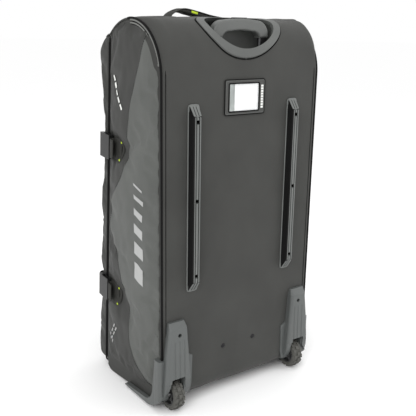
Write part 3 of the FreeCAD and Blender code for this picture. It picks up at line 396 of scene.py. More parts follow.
def sweep(name, route, across, section, finish):
    """A section of (across, out) points swept along a route; across is one vector or one for each point."""
    route = np.array(route, float)
    n = len(route)
    across = np.broadcast_to(np.array(across, float), (n, 3))
    along = unit(np.gradient(route, axis=0))
    across = unit(across - along * np.sum(across * along, axis=1, keepdims=True))
    out = np.cross(along, across)
    rings = [route + across * a + out * b for a, b in section]
    points = np.stack(rings, 1)
    m = len(section)
    faces = [(i * m + j, (i + 1) * m + j, (i + 1) * m + (j + 1) % m, i * m + (j + 1) % m)
             for i in range(n - 1) for j in range(m)]
    faces.append(tuple(range(m)))
    faces.append(tuple((n - 1) * m + j for j in reversed(range(m))))
    return shape(name, points, faces, finish)


def oval(width, thickness, count=12, power=0.45):
    """A rounded flat section, square-shouldered for a small power."""
    angles = [2 * math.pi * (k + 0.5) / count for k in range(count)]

    def shoulder(v):
        return math.copysign(abs(v) ** power, v)
    return [(width / 2 * shoulder(math.cos(a)), thickness / 2 * shoulder(math.sin(a))) for a in angles]


def round_section(radius, count):
    return [(radius * math.cos(2 * math.pi * k / count), radius * math.sin(2 * math.pi * k / count))
            for k in range(count)]


def join(name, pieces):
    """Several mesh objects made into one."""
    bm = bmesh.new()
    finishes = []
    for piece in pieces:
        first = len(bm.faces)
        bm.from_mesh(piece.data)
        bm.faces.ensure_lookup_table()
        slots = []
        for m in piece.data.materials:
            if m not in finishes:
                finishes.append(m)
            slots.append(finishes.index(m))
        for f in bm.faces[first:]:
            f.material_index = slots[min(f.material_index, len(slots) - 1)]
    mesh = mesh_of(bm, name)
    for m in finishes:
        mesh.materials.append(m)
    for piece in pieces:
        old = piece.data
        bpy.data.objects.remove(piece)
        bpy.data.meshes.remove(old)
    obj = add_object(name, mesh)
    return obj


def blocks(name, places, size, finish):
    """Small identical blocks at (centre, along, across) places, as one piece: teeth, stitches, bartacks."""
    corners = [(a, b, c) for a in (-1, 1) for b in (-1, 1) for c in (-1, 1)]
    quads = [(0, 1, 3, 2), (4, 6, 7, 5), (0, 4, 5, 1), (2, 3, 7, 6), (0, 2, 6, 4), (1, 5, 7, 3)]
    points, faces = [], []
    for centre, along, across in places:
        along = np.array(along, float) / np.linalg.norm(along)
        across = np.array(across, float)
        across = across - along * across.dot(along)
        across /= np.linalg.norm(across)
        up = np.cross(along, across)
        base = len(points)
        for a, b, c in corners:
            taper = 0.75 if c > 0 else 1.0
            points.append(np.array(centre) + along * a * size[0] / 2 * taper
                          + across * b * size[1] / 2 * taper + up * c * size[2] / 2)
        faces += [tuple(base + i for i in q) for q in quads]
    return shape(name, points, faces, finish, smooth=False)


def along_route(route, step, start=0.0):
    """(point, direction) pairs every step along a route."""
    route = np.array(route, float)
    gaps = np.linalg.norm(np.diff(route, axis=0), axis=1)
    length = np.concatenate([[0], np.cumsum(gaps)])
    places = np.arange(start, length[-1], step)

    def at(t):
        return np.column_stack([np.interp(t, length, route[:, k]) for k in range(3)])
    return list(zip(at(places), at(places + step / 4) - at(places - step / 4)))


# ---- the shell's outlines
def arc_points(cy, cz, radius, first, last, count):
    """(y, z) points on a circle; 0 degrees is up and positive turns forward."""
    t = np.radians(np.linspace(first, last, count))
    return np.column_stack([cy + radius * np.sin(t), cz + radius * np.cos(t)])


def front_arc(rise, first, last, count):
    """Points of the top-to-front curve, rise above it."""
    return arc_points(TOP_FLAT_Y, TOP - FRONT_RADIUS, FRONT_RADIUS + rise, first, last, count)


def straight(a, b, count):
    t = np.linspace(0, 1, count)[:, None]
    return np.array(a) * (1 - t) + np.array(b) * t


FOLD_ANGLE = math.degrees(math.asin((FOLD_Y - TOP_FLAT_Y) / FRONT_RADIUS))
WELL_TOP, WELL_Y = 92.4, 54.4
WELL_X0, WELL_X1 = 160.0, 202.0


def shell_section(top_radius):
    """(y, z) points from the lid's foot, under the bag, up the back and over the top to the lid's fold."""
    r = top_radius
    under = lambda y: UNDER_Z * (REST_Y0 - y) / (REST_Y0 - FOOT_RADIUS)
    parts = [
        straight((REST_Y1 + 14, 9), (REST_Y1, 0), 3), straight((REST_Y1 - 6, 0), (REST_Y0, 0), 4),
        straight((REST_Y0 - 8, under(REST_Y0 - 8)), (WELL_Y + 8, under(WELL_Y + 8)), 20),
        straight((WELL_Y, under(WELL_Y)), (FOOT_RADIUS, UNDER_Z), 3),
        arc_points(FOOT_RADIUS, FOOT_Z, FOOT_RADIUS, 190, 270, 9),
        straight((0, FOOT_Z + 6), (0, WELL_TOP), 6), straight((0, WELL_TOP + 6), (0, CROWN_Z), 106),
        straight((0, CROWN_Z + (SIDE_RADIUS - r) * 0.1 + 0.5), (0, TOP - r), 10),
        arc_points(r, TOP - r, r, -88, 0, 26)[:-1],
        straight((r, TOP), (TOP_FLAT_Y, TOP), 10),
        front_arc(0, 1.5, FOLD_ANGLE, 20),
    ]
    return np.vstack(parts)


def crown_radius(x):
    """The back-to-top curve tightens towards the middle of the bag."""
    return np.interp(abs(x), [111, 170, 196, 205, HALF - 3, HALF], [MIDDLE_RADIUS, 63, 67, 82, 110, SIDE_RADIUS])


def cup_reach(x, y, z, half_axes):
    """Under 1 inside the egg-shaped outline of the handle cup with these half axes (across, down, up)."""
    across, down, up = half_axes
    lift = (y + z - TOP) / math.sqrt(2) - CUP_SHIFT
    return math.hypot(x / across, lift / (up if lift > 0 else down))


HARD_PLACES = ((122, 152, 275, 700), (135, 213, 0, 225), (0, 60, 660, 745), (20, 60, 100, 145))
HANDLE_PLACE = (62, 122, 150, 194)  # a sewn root of the grab handle, on the top
CUP_CALM, CUP_OPENING = (113.0, 76.5, 45.0), (102.0, 68.0, 37.5)
CALM_REACH = 26.0


def gap_to(a, b, place):
    """How far (a, b) lies outside a rectangle."""
    a0, a1, b0, b1 = place
    return math.hypot(max(a0 - a, a - a1, 0), max(b0 - b, b - b1, 0))


def hardware_calm(x, y, z):
    """0 on and beside the hard parts fixed to the back and top, 1 well away from them."""
    calm = 1.0
    ax = abs(x)
    if y < 30:
        calm = min([calm] + [ease(gap_to(ax, z, place) / CALM_REACH) for place in HARD_PLACES])
    across = cup_reach(x, y, z, CUP_CALM) if y < 120 else 9.0
    calm = min(calm, ease((across - 1.0) * 2.2))
    if y > 130:
        calm = min(calm, ease(gap_to(ax, y, HANDLE_PLACE) / CALM_REACH))
    return float(calm)


def body_cloth():
    """The cloth of the bottom, back and top: one wrap with openings for the wheel wells and the handle cup."""
    xs = np.concatenate([np.linspace(0, 111, 21), np.linspace(116, 160, 9), np.linspace(166, 202, 7),
                         [205, 208, 210.5, 212.2, HALF - 0.2]])
    xs = np.concatenate([-xs[:0:-1], xs])
    columns = [shell_section(crown_radius(x)) for x in xs]
    points = np.stack([at_x(x, c) for x, c in zip(xs, columns)], 1)
    base = points.copy()
    along = np.gradient(points, axis=0)
    out = np.stack([np.zeros(points.shape[:2]), -along[..., 2], along[..., 1]], -1)
    out /= np.maximum(np.linalg.norm(out, axis=-1, keepdims=True), 1e-6)
    for i in range(points.shape[0]):
        for j in range(points.shape[1]):
            x, y, z = base[i, j]
            edge = float(ease((HALF - abs(x)) / 26))
            broad = ripple(x, y, z * 0.7, 95.0) * 2.0 + ripple(x, y, z, 38.0, 50.0) * 0.9
            if z > TOP - 70 and y > 60:
                broad = broad * 2.0 + 2.0
            rise = hardware_calm(x, y, z) * edge * broad
            rise -= 1.4 * (1 - float(ease((HALF - abs(x)) / 5)))
            points[i, j] += out[i, j] * rise
    points[..., 2] = np.maximum(points[..., 2], 0.15)
    mid = (base[:-1, :-1] + base[1:, 1:]) / 2
    in_well = (np.abs(mid[..., 0]) > WELL_X0) & (np.abs(mid[..., 0]) < WELL_X1)
    in_well &= (mid[..., 2] < WELL_TOP) & (mid[..., 1] < WELL_Y)
    in_cup = np.array([[cup_reach(*q, CUP_OPENING) < 1 for q in row] for row in mid])
    in_cup &= mid[..., 1] < 100
    obj = grid("body_cloth", points, SHELL_CLOTH, keep=~(in_well | in_cup))
    thicken(obj, 2.6)
    return finish_piece(obj, "bag", ["back_panel", "top_panel", "bottom_panel"])


def side_span(z):
    """(back y, front y) of a side panel at height z."""
    if z < UNDER_Z:
        low = FOOT_RADIUS + (UNDER_Z - z) / UNDER_Z * (REST_Y0 - FOOT_RADIUS)
    elif z < FOOT_Z:
        low = FOOT_RADIUS - math.sqrt(max(0.0, FOOT_RADIUS ** 2 - (FOOT_Z - z) ** 2))
    elif z < CROWN_Z:
        low = 0.0
    else:
        low = SIDE_RADIUS - math.sqrt(max(0.0, SIDE_RADIUS ** 2 - (z - TOP + SIDE_RADIUS) ** 2))
    zip_edge = FOLD_Y + (FOLD_Z - z) * math.tan(TILT) - 4.2
    dome = TOP_FLAT_Y + math.sqrt(max(0.0, FRONT_RADIUS ** 2 - (z - TOP + FRONT_RADIUS) ** 2)) if z > 700 else 1e9
    heel = REST_Y1 + 2 * z if z < 6 else REST_Y1 + 12 + (z - 6) * 0.2
    return low, min(zip_edge, dome, heel)


def side_swell(y, z):
    """How far the stuffed side stands out: full in the middle, drawn in at the edges and under the straps."""
    low, high = side_span(z)
    across = max(0.0, min(1.0, (y - low) / max(high - low, 1e-6)))
    belly = 6.5 * math.sin(math.pi * across) ** 0.7 * float(ease(z / 90) * ease((TOP - z) / 90))
    for strap in STRAPS_Z:
        pinch = float(bump(z, strap, 34.0)) * float(ease((y - (high - 140)) / 70))
        belly *= 1 - pinch
    guard = 1 - float(ease((150 - z) / 20) * ease((46 - y) / 16))
    runner = float(ease((z - 38) / 18))
    return belly * guard * runner


def side_cloth(side):
    """One side of the bag: a soft panel that swells between its seams."""
    heights = np.concatenate([[0.3, 2, 4, 6, 9, 12, 16, 20, 26, 33, 40, 48], np.linspace(FOOT_Z, 800, 125),
                              TOP - np.array([60, 54, 48, 42, 36, 30, 25, 20, 16, 12, 9, 6, 4, 2.4, 1.2, 0.5])])
    cols = 46
    points = np.zeros((len(heights), cols, 3))
    for i, z in enumerate(heights):
        low, high = side_span(z)
        for j, y in enumerate(np.linspace(low + 0.4, max(high, low + 1.0), cols)):
            rim = min(y - low, high - y)
            tuck = 1.3 * (1 - float(ease(rim / 4)))
            swell = side_swell(y, z)
            fold = ripple(y, z * 0.6, 0, 60.0, 7.0 * side) * 0.35 * swell
            fold += ripple(y * 0.5 + z * 0.9, y - z * 0.35, 9.0, 24.0, 90.0 * side) * min(1.0, swell / 4) * 1.2
            points[i, j] = (HALF + swell + fold - tuck, y, z)
    obj = grid(f"{hand(side)}_side_cloth", points, FINISH["side_fabric"])
    flat = points.reshape(-1, 3)
    ring = np.ones((len(heights), cols), bool)
    ring[2:-2, 2:-2] = False
    held = ring.ravel() | np.array([side_swell(y, z) < 0.25 for _, y, z in flat])
    puff(obj, held, growth=0.022, pressure=0.6, frames=26, limit=7.0, stiffness=1.5)
    p = get_points(obj)
    p[:, 0] = side * np.maximum(p[:, 0], HALF - 6.0)
    set_points(obj, p)
    if side < 0:
        obj.data.flip_normals()
    return obj


# ---- pieces that lie on a side
def surface_of(obj):
    """Finds how far out a side's cloth is at (y, z)."""
    tree = BVHTree.FromObject(obj, bpy.context.evaluated_depsgraph_get())

    def reach(side, y, z):
        start = Vector(((HALF + 60) * side / MM, (y + BACK_Y) / MM, z / MM))
        hit = tree.ray_cast(start, Vector((-side, 0, 0)))[0]
        return abs(hit.x) * MM if hit is not None else HALF
    return reach


WAVE = [(30, 36), (60, 57), (92, 84), (122, 122), (132, 183), (144, 229), (161, 273), (182, 328), (208, 370),
        (219, 405), (216, 440), (201, 470), (151, 526), (127, 586), (121, 631), (103, 700),
        (82, 748), (67, 782), (59, 808), (49, 833)]
WAVE_INSET = 9.5
ZIP_INSET = 16.0  # beside the seam zip
ZIP_FOOT_Z = 770.0


def wave_edge():
    """The front edge of the lighter wave, as (y, z) points every few millimetres."""
    route = smooth_route([(0, y, z) for y, z in WAVE], 4.0)
    return route[:, 1:]


def wave_insert(side, reach):
    """Lighter cloth sewn on the side: along the back seam, with a wavy front edge."""
    edge = wave_edge()
    points = np.zeros((len(edge), 34, 3))
    for i, (front, z) in enumerate(edge):
        inset = WAVE_INSET + (ZIP_INSET - WAVE_INSET) * float(ease((z - ZIP_FOOT_Z + 12) / 14))
        low = side_span(z)[0] + inset
        if z > CROWN_Z:
            r = SIDE_RADIUS - inset
            low = SIDE_RADIUS - math.sqrt(max(0.0, r * r - (z - TOP + SIDE_RADIUS) ** 2))
        low = min(low, front - 0.5)
        for j, y in enumerate(np.linspace(low, front, points.shape[1])):
            rim = min(front - y, y - low, 6.0)
            points[i, j] = (side * (reach(side, y, z) + 0.35 + 0.55 * float(ease(rim / 3))), y, z)
    return grid(f"{hand(side)}_wave_insert", points, FINISH["insert_fabric"], flip=side < 0)


def side_graphics(side, reach):
    """Plain geometric print: slanted bars up the wave, a thin stripe above and two short rows below."""
    shapes = []

    def patch(corners, n=8, m=4, ink=PRINT):
        a, b, c, d = (np.array(p, float) for p in corners)
        pts = np.zeros((n, m, 3))
        for i in range(n):
            for j in range(m):
                u, v = i / (n - 1), j / (m - 1)
                y, z = (a * (1 - u) + b * u) * (1 - v) + (d * (1 - u) + c * u) * v
                pts[i, j] = (side * (reach(side, y, z) + 1.25), y, z)
        shapes.append(grid("print", pts, ink, flip=side > 0))
    low, high, width, slant = 290.0, 514.0, 33.0, 12.0
    bars = (44.0, 34.0, 27.0, 21.0, 16.0, 11.0)
    gap = (high - low - sum(bars)) / (len(bars) - 1)
    z = low
    for height in bars:
        patch([(61, z), (61 + width, z + slant), (61 + width, z + height + slant - 6), (61, z + height - 6)])
        z += height + gap
    for k in range(5):
        t0, t1 = k / 5, k / 5 + 0.15
        y0, y1 = 137 + 50 * t0, 137 + 50 * t1
        z0, z1 = 674 + 74 * t0, 674 + 74 * t1
        patch([(y0, z0), (y1, z1), (y1 + 5, z1 - 3), (y0 + 5, z0 - 3)], 4, 3, BRIGHT_PRINT)
    for row in range(2):
        for k in range(4):
            y, z = 188 + 10 * k + row * 9, 141 - 15 * k + row * 6
            patch([(y, z), (y + 7, z - 10.5), (y + 11, z - 8.1), (y + 4, z + 2.4)], 4, 3)
    return join(f"{hand(side)}_side_print", shapes)


# ---- zips
def u_route(half, n, corner, top):
    """Down one side of the lid, along its foot and up the other, at n out from the zip's middle."""
    low = -LID_LENGTH + (ZIP_HALF - half)
    side = [(half, n, z) for z in np.linspace(top, low + corner, 100)]
    turn = [(half - corner + corner * math.cos(a), n, low + corner - corner * math.sin(a))
            for a in np.linspace(0.12, math.pi / 2, 8)]
    foot = [(x, n, low) for x in np.linspace(half - corner - 4, 0, 40)]
    right = side + turn + foot
    left = [(-x, n, z) for x, n, z in reversed(right[:-1])]
    return np.array(right + left)


def main_zip(half_name, sign, body, top, node):
    """One half of the main zip: its tape, the cord of the coil and the teeth."""
    lid_route = on_lid(u_route(ZIP_HALF - 0.4, sign * 2.4, 12, top))
    tape = sweep("tape", lid_route, LID_OUT, oval(4.4, 1.2, 8), FINISH["zip_tape"])
    coil = u_route(ZIP_HALF + 0.5, sign * 1.25, 12, top)
    cord = sweep("coil", on_lid(coil), LID_OUT, round_section(0.85, 8), THREAD_AND_SHADE)
    teeth = u_route(ZIP_HALF + 1.0, sign * 0.75, 12, top)
    places = [(p, LID_OUT, d) for p, d in along_route(on_lid(teeth), 3.2, start=0.0 if sign > 0 else 1.6)]
    row = blocks("teeth", places, (1.3, 1.3, 1.3), FINISH["zip_tape"])
    return finish_piece(join(half_name, [tape, cord, row]), body, [node])


def seam_zip(side):
    """The zip that runs back over the top along the side seam: a dark tape with two pale raised coils."""
    depth = 8.0
    route = arc_points(SIDE_RADIUS, CROWN_Z, SIDE_RADIUS - depth, -78, 0, 50)
    line = at_x(side * (HALF + 1.4), route)
    d = np.gradient(line, axis=0)
    across = unit(np.cross(d, (1, 0, 0)))
    out = np.array([side, 0, 0])
    parts = [sweep("tape", line, across, oval(13.0, 1.6, 10), THREAD_AND_SHADE)]
    parts += [sweep("ridge", line + across * s * 3.1 + out * 0.9, across, oval(3.6, 2.4, 10, 0.8), RIDGE)
              for s in (-1, 1)]
    places = [(p + out * 0.7, np.cross(d, (1, 0, 0)), d) for p, d in along_route(line, 3.0)]
    parts.append(blocks("teeth", places, (2.4, 1.4, 1.0), THREAD_AND_SHADE))
    parts.append(blocks("stop", [(line[1], line[3] - line[0], across[0])], (6.0, 13.0, 4.0), RIDGE))
    parts.append(blocks("end", [(line[-2], line[-1] - line[-3], across[-1])], (9.0, 13.0, 3.4), WEBBING))
    return join(f"{hand(side)}_seam_zip", parts)


def edge_binding(side):
    """The black bound edge where the side meets the back and the top."""
    inset = 1.2
    back = np.vstack([straight((inset, 62), (inset, CROWN_Z), 60),
                      arc_points(SIDE_RADIUS, CROWN_Z, SIDE_RADIUS - inset, -88, 6, 42)])
    front = front_arc(-inset - 0.6, 2, FOLD_ANGLE - 2, 22)
    parts = []
    for rows, radius, finish in ((back, 2.5, FINISH["piping"]), (front, 1.9, FINISH["side_fabric"])):
        line = at_x(side * (HALF + 0.9), rows)
        parts.append(sweep("binding", line, (side, 0, 0), round_section(radius, 12), finish))
    inner = at_x(side * (HALF - 8.5), back)
    lift = unit(np.cross(np.gradient(inner, axis=0), (1, 0, 0)))
    parts.append(sweep("stitch_line", inner - lift * (inset + 0.4), (1, 0, 0), oval(1.3, 0.8, 8), THREAD_AND_SHADE))
    return finish_piece(join(f"{hand(side)}_edge_binding", parts), "bag", ["edge_piping"])


# ---- lid and pockets
def slab(name, half, y0, y1, z0, z1, corner, edge, cell, finish):
    """A closed slab with rounded corners and edges, drawn in the lid's frame and remeshed evenly."""
    bm = bmesh.new()
    bmesh.ops.create_cube(bm, size=1.0)
    for v in bm.verts:
        v.co.x *= 2 * half
        v.co.y = y0 + (v.co.y + 0.5) * (y1 - y0)
        v.co.z = z0 + (v.co.z + 0.5) * (z1 - z0)
    upright = [e for e in bm.edges if abs(e.verts[0].co.y - e.verts[1].co.y) > 1]
    bmesh.ops.bevel(bm, geom=upright, offset=corner, segments=8, profile=0.5, affect="EDGES")
    bm.normal_update()
    rim = [e for e in bm.edges if all(abs(v.co.y - y1) < 1e-4 for v in e.verts)
           and any(abs(f.normal.y) < 0.5 for f in e.link_faces)]
    bmesh.ops.bevel(bm, geom=rim, offset=edge, segments=6, profile=0.5, affect="EDGES")
    mesh = mesh_of(bm, name)
    obj = add_object(name, mesh)
    mesh.transform(Matrix.Scale(1 / MM, 4))
    remesh = obj.modifiers.new("even", "REMESH")
    remesh.mode = "VOXEL"
    remesh.voxel_size = cell / MM
    settle(obj)
    drawn = raw_points(obj)
    obj.data.materials.append(finish)
    obj.data.polygons.foreach_set("use_smooth", [True] * len(obj.data.polygons))
    return obj, drawn


LID_PUFFS = ((20, 54, 54), (8, 480, 70), (6, 680, 40), (13, 750, 60))  # height, distance down the lid, width
LID_PINCHES = ((6, 290, 26), (6, 612, 30), (7, 200, 30))


def hills(down, rows):
    return sum(height * bump(down, centre, width) for height, centre, width in rows)


def lid_swell(x, z, y):
    """How far the lid's stuffed edge stands out beyond its plain shape, down its length."""
    down = -z
    near_edge = ease((abs(x) - 150) / 48)
    above_pocket = ease((66 - down) / 24)
    share = np.maximum(near_edge, above_pocket)
    return (hills(down, LID_PUFFS) - hills(down, LID_PINCHES)) * share * ease(y / 30)


def lid_pad():
    """The lid: a padded slab whose edge swells between the straps."""
    half = ZIP_HALF - 1.2
    obj, p = slab("lid_pad", half, 4.3, LID_DEPTH, -LID_LENGTH + 1.0, -1.0, 14, 17, 6.0, SHELL_CLOTH)
    x, y, z = p.T
    y_new = y + lid_swell(x, z, y)
    shoulder = ease((z + 42) / 42) * ease((y - 4) / 30)
    y_new = y_new - shoulder * 15
    p = np.column_stack([x, y_new, z])
    set_points(obj, on_lid(p))
    down = -z
    strap_rows = np.zeros(len(p), bool)
    for strap in STRAPS_Z:
        strap_rows |= np.abs(down - (FOLD_Z - strap)) < 20
    held = (y < 10) | (strap_rows & (np.abs(x) > 150)) | ((np.abs(x) < 172) & (down > 66) & (y > 30))
    puff(obj, held, growth=0.03, pressure=2.0, frames=18, limit=6.0, stiffness=2.0)
    obj.data.materials.append(FINISH["side_fabric"])
    obj.data.materials.append(MESH_CLOTH)
    for poly in obj.data.polygons:
        centre = sum((p[v] for v in poly.vertices), np.zeros(3)) / len(poly.vertices)
        if centre[1] < 7:
            poly.material_index = 2
        elif abs(centre[0]) > half - 3 or centre[2] < -LID_LENGTH + 4:
            poly.material_index = 1
    return finish_piece(obj, "lid", ["lid_panel", "lid_gusset"])


def pocket_pad(name):
    z0, z1 = POCKETS[name]
    obj, p = slab(f"{name}_pocket_pad", POCKET_HALF, LID_DEPTH - 2, LID_DEPTH + POCKET_DEPTH, z0, z1, 38, 9, 5.0,
                  SHELL_CLOTH)
    x, y, z = p.T
    zip_z = z1 - POCKET_ZIP_DROP
    groove = bump(z, zip_z, 11) * ease((158 - np.abs(x)) / 8) * (y > LID_DEPTH + 8)
    y = y - 1.2 * groove
    p = np.column_stack([x, y, z])
    set_points(obj, on_lid(p))
    held = (y < LID_DEPTH + 3) | (np.abs(z - zip_z) < 15)
    puff(obj, held, growth=0.03, pressure=3.0, frames=18, limit=9.0, stiffness=2.0)
    return finish_piece(obj, "lid", [f"{name}_pocket"])


def pocket_zip(name):
    """A pocket's zip: tape across the pocket, inside a welt of the pocket's cloth."""
    z = POCKETS[name][1] - POCKET_ZIP_DROP
    seat = LID_DEPTH + POCKET_DEPTH
    along = on_lid([(x, seat + 0.55, z) for x in np.linspace(-150, 150, 40)])
    parts = [sweep("tape", along, LID_UP, oval(17.0, 1.3, 10), FINISH["zip_tape"])]
    parts += [sweep("welt", along + LID_UP * s * 10.5 + LID_OUT * 0.7, LID_UP, oval(7.0, 3.0, 12, 0.8), SHELL_CLOTH)
              for s in (-1, 1)]
    ends = [(on_lid((x, seat + 0.9, z)), LID_UP, (1, 0, 0)) for x in (-152, 152)]
    parts.append(blocks("end", ends, (26, 8, 3.0), WEBBING))
    return join("zip", parts)


def fold_cloth():
    """Cloth across the lid's fold, from the top panel to the head of the lid."""
    xs = np.linspace(-HALF + 2.5, HALF - 2.5, 60)
    shell = front_arc(0.6, FOLD_ANGLE - 7, FOLD_ANGLE - 0.5, 6)
    head = on_lid([(0, 3.0, 1.8), (0, 9.0, 0.6), (0, 16.0, -2.4), (0, 22.0, -7.0)])[:, 1:]
    section = np.vstack([shell, head])
    points = np.stack([at_x(x, section) for x in xs], 1)
    obj = grid("fold_cloth", points, SHELL_CLOTH, flip=True)
    thicken(obj, 1.4)
    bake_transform(obj)
    return obj


# ---- webbing
BUCKLE_X = HALF + 1.2
PATCH_Y0, PATCH_Y1 = -78.0, -38.0


def strap_place(points, z, side=1):
    """Points drawn from the zip line at height z, square to the lid's edge, to the shell's millimetres."""
    p = np.array(points, float)
    reach = (FOLD_Z - z) * math.tan(TILT)
    c, s = math.cos(TILT), math.sin(TILT)
    x, y, up = p[..., 0], p[..., 1], p[..., 2]
    return np.stack([side * x, FOLD_Y + reach + y * c - up * s, z + y * s + up * c], -1)


def strap(tack, z, side):
    route = strap_place(smooth_route(tack, 4), z, side)
    across = strap_place((0, 0, 1), z) - strap_place((0, 0, 0), z)
    return sweep("strap", route, across, oval(44, 1.9, 14, 0.4), WEBBING)


def rear_strap(z, side):
    """From the patch round the buckle's bar, folded back on itself."""
    x = BUCKLE_X + 2.2
    tack = [(x - 0.2, -68, 0), (x, -50, 0), (x, -34, 0), (x + 0.6, -28, 0), (x + 3.4, -25.5, 0), (x + 7.4, -27.5, 0),
            (x + 10.6, -34, 0), (x + 11.5, -42, 0), (x + 11.5, -48, 0)]
    return strap(tack, z, side)


def front_strap(z, side):
    """From the buckle's prongs round the lid's edge to the pocket."""
    x, out = BUCKLE_X, LID_DEPTH + 1.4
    tack = [(x + 6.7, 12.0, 0), (x + 6.9, 21, 0), (x + 3.5, 31, 0), (x - 3.5, out - 0.5, 0), (x - 14, out + 1.2, 0),
            (x - 27, out + 0.8, 0), (POCKET_HALF + 4, out + 0.4, 0)]
    return strap(tack, z, side)


def anchor_patch(z, side, reach):
    """Six-sided webbing patch at a strap's root."""
    half, rows = 27.0, 7
    outline = [(PATCH_Y0, half - 13), (PATCH_Y0 + 9, half - 2), (PATCH_Y0 + 22, half), (PATCH_Y1 + 6, half - 2),
               (PATCH_Y1 + 14, half - 4)]
    ys = np.linspace(PATCH_Y0, PATCH_Y1 + 14, 14)
    tall = np.interp(ys, [o[0] for o in outline], [o[1] for o in outline])
    pts = np.zeros((len(ys), rows, 3))
    for i, (y, h) in enumerate(zip(ys, tall)):
        for j, t in enumerate(np.linspace(-1, 1, rows)):
            x, yy, zz = strap_place((0, y, t * h), z)
            lift = 1.5 - 0.6 * abs(t) ** 6
            pts[i, j] = (side * (max(reach(side, yy, zz), HALF - 1) + lift), yy, zz)
    obj = grid("patch", pts, WEBBING, flip=side > 0)
    return thicken(obj, 1.4)


def bartacks(z, side, reach):
    """Neon dots of thread that fix the patch."""
    places = []
    for up in (20, -20):
        _, yy, zz = strap_place((0, -68, up), z)
        places.append(((side * (max(reach(side, yy, zz), HALF - 1) + 2.0), yy, zz), (0, 0.6, 1), (0, 1, -0.6)))
    return blocks("tack", places, (5.0, 3.4, 1.0), NEON)


ROLL_THICK = 13.0


def grab_handle():
    """Webbing loop across the top, rolled and stitched in the middle, slack to one side."""
    crest = [(-96, 0), (-88, 12), (-72, 21), (-50, 26), (-14, 20), (20, 13), (48, 9), (78, 5), (96, 0)]
    route = smooth_route([(x, HANDLE_Y, HANDLE_Z + z) for x, z in crest], 4)
    flat = sweep("loop", route, (0, 1, 0), oval(33, 2.4, 14, 0.4), WEBBING)
    inner = route[(route[:, 0] > -74) & (route[:, 0] < 70)]
    middle = inner + np.array([0, 0, 0.8 - ROLL_THICK / 2])
    wrap = sweep("wrap", middle, (0, 1, 0), oval(31, ROLL_THICK, 18, 0.75), WEBBING)
    p = get_points(wrap)
    centre = np.interp(p[:, 0], inner[:, 0], inner[:, 2]) + 0.8
    thin = 0.35 + 0.65 * ease(np.minimum(p[:, 0] + 76, 72 - p[:, 0]) / 34)
    p[:, 2] = centre + (p[:, 2] - centre) * thin
    set_points(wrap, p)
    seams = [sweep("seam", inner + np.array([0, s * 11.5, 1.0]), (0, 1, 0), oval(1.2, 0.8, 8), THREAD_AND_SHADE)
             for s in (-1, 1)]
    label_at = inner[(inner[:, 0] > -38) & (inner[:, 0] < -16)] + np.array([0, 0, 0.9 - ROLL_THICK * 0.42])
    label = sweep("label", label_at, (0, 1, 0), oval(31.8, ROLL_THICK * 0.92, 18, 0.75), NEON)
    return finish_piece(join("grab_handle_loop", [flat, wrap, *seams, label]), "handle", ["grab_handle"])


def dome_height(y):
    return TOP - FRONT_RADIUS + math.sqrt(FRONT_RADIUS ** 2 - max(0.0, y - TOP_FLAT_Y) ** 2)


ROOT_X, ROOT_HALF, ROOT_TALL = 92, 25, 17


def handle_roots():
    """The handle's sewn ends on the top panel, with the neon tag beside the left one."""
    parts = []
    for x in (-ROOT_X, ROOT_X):
        pts = np.zeros((10, 8, 3))
        for i, dx in enumerate(np.linspace(-ROOT_HALF, ROOT_HALF, 10)):
            for j, dy in enumerate(np.linspace(-ROOT_TALL, ROOT_TALL, 8)):
                lift = 1.9 - 0.5 * (abs(dx) / ROOT_HALF) ** 8 - 0.5 * (abs(dy) / ROOT_TALL) ** 8
                y = HANDLE_Y + dy
                pts[i, j] = (x + dx, y, dome_height(y) + lift)
        parts.append(thicken(grid("root", pts, WEBBING, flip=True), 1.2))
    tag = [(-96, HANDLE_Y - 17, dome_height(HANDLE_Y - 17) + 2.0), (-97, HANDLE_Y - 22, dome_height(155) + 4.5),
           (-97, HANDLE_Y - 30, dome_height(142) + 5.0), (-96, HANDLE_Y - 36, dome_height(136) + 2.5)]
    parts.append(sweep("tag", smooth_route(tag, 3), (1, 0, 0), oval(22, 1.0, 10, 0.4), NEON))
    return finish_piece(join("handle_roots", parts), "bag", ["handle_anchors"])


# ---- moulded parts with painted shade in their hollows
def with_painted_shade(node, name, first, second, dark):
    """A copy of a node's mesh that takes its place; dark picks the faces in the second finish, a painted shade."""
    source = frame["nodes"][node]
    mesh = source.data.copy()
    mesh.name = name
    mesh.transform(source.matrix_world)
    mesh.materials.clear()
    for finish in (first, second):
        mesh.materials.append(finish)
    obj = add_object(name, mesh)
    for poly in mesh.polygons:
        centre = poly.center * MM - Vector(BACK)
        poly.material_index = int(dark(centre, poly.normal))
    return finish_piece(obj, "bag", [node])


RAIL_FLANGE_Y, RAIL_GROOVE_Y, RAIL_FACE_Y = -2.4, -17.2, -18.4
RAIL_SLOPE = 24.0


def rail_painted_shade(centre, normal):
    """True on a skid rail's side walls and in the two grooves of its face: the faces given painted shade."""
    wall = abs(normal.x) > 0.7 and RAIL_GROOVE_Y < centre.y < RAIL_FLANGE_Y
    groove = RAIL_FACE_Y < centre.y < RAIL_GROOVE_Y and abs(normal.y) > 0.7
    return wall or groove


def cup_inside(centre, normal):
    """True on the faces of the handle cup that lie below its trim ring, which get the painted shade."""
    y, z = centre.y - MIDDLE_RADIUS, centre.z - (TOP - MIDDLE_RADIUS)
    if y < 0 and z > 0:
        return math.hypot(y, z) < MIDDLE_RADIUS - 5
    return y > 5 - MIDDLE_RADIUS and z < MIDDLE_RADIUS - 5


def ring(x0, x1, z0, z1, y, radius, finish, corner=4.0):
    """A round cord laid in a rectangle with round corners on the back."""
    centres = [(x1 - corner, z1 - corner), (x0 + corner, z1 - corner), (x0 + corner, z0 + corner),
               (x1 - corner, z0 + corner)]
    route = [(cx + corner * math.cos(math.radians(a)), y, cz + corner * math.sin(math.radians(a)))
             for k, (cx, cz) in enumerate(centres) for a in np.linspace(90 * k, 90 * k + 90, 6)]
    return sweep("ring", route + route[:1], (0, 1, 0), round_section(radius, 8), finish)


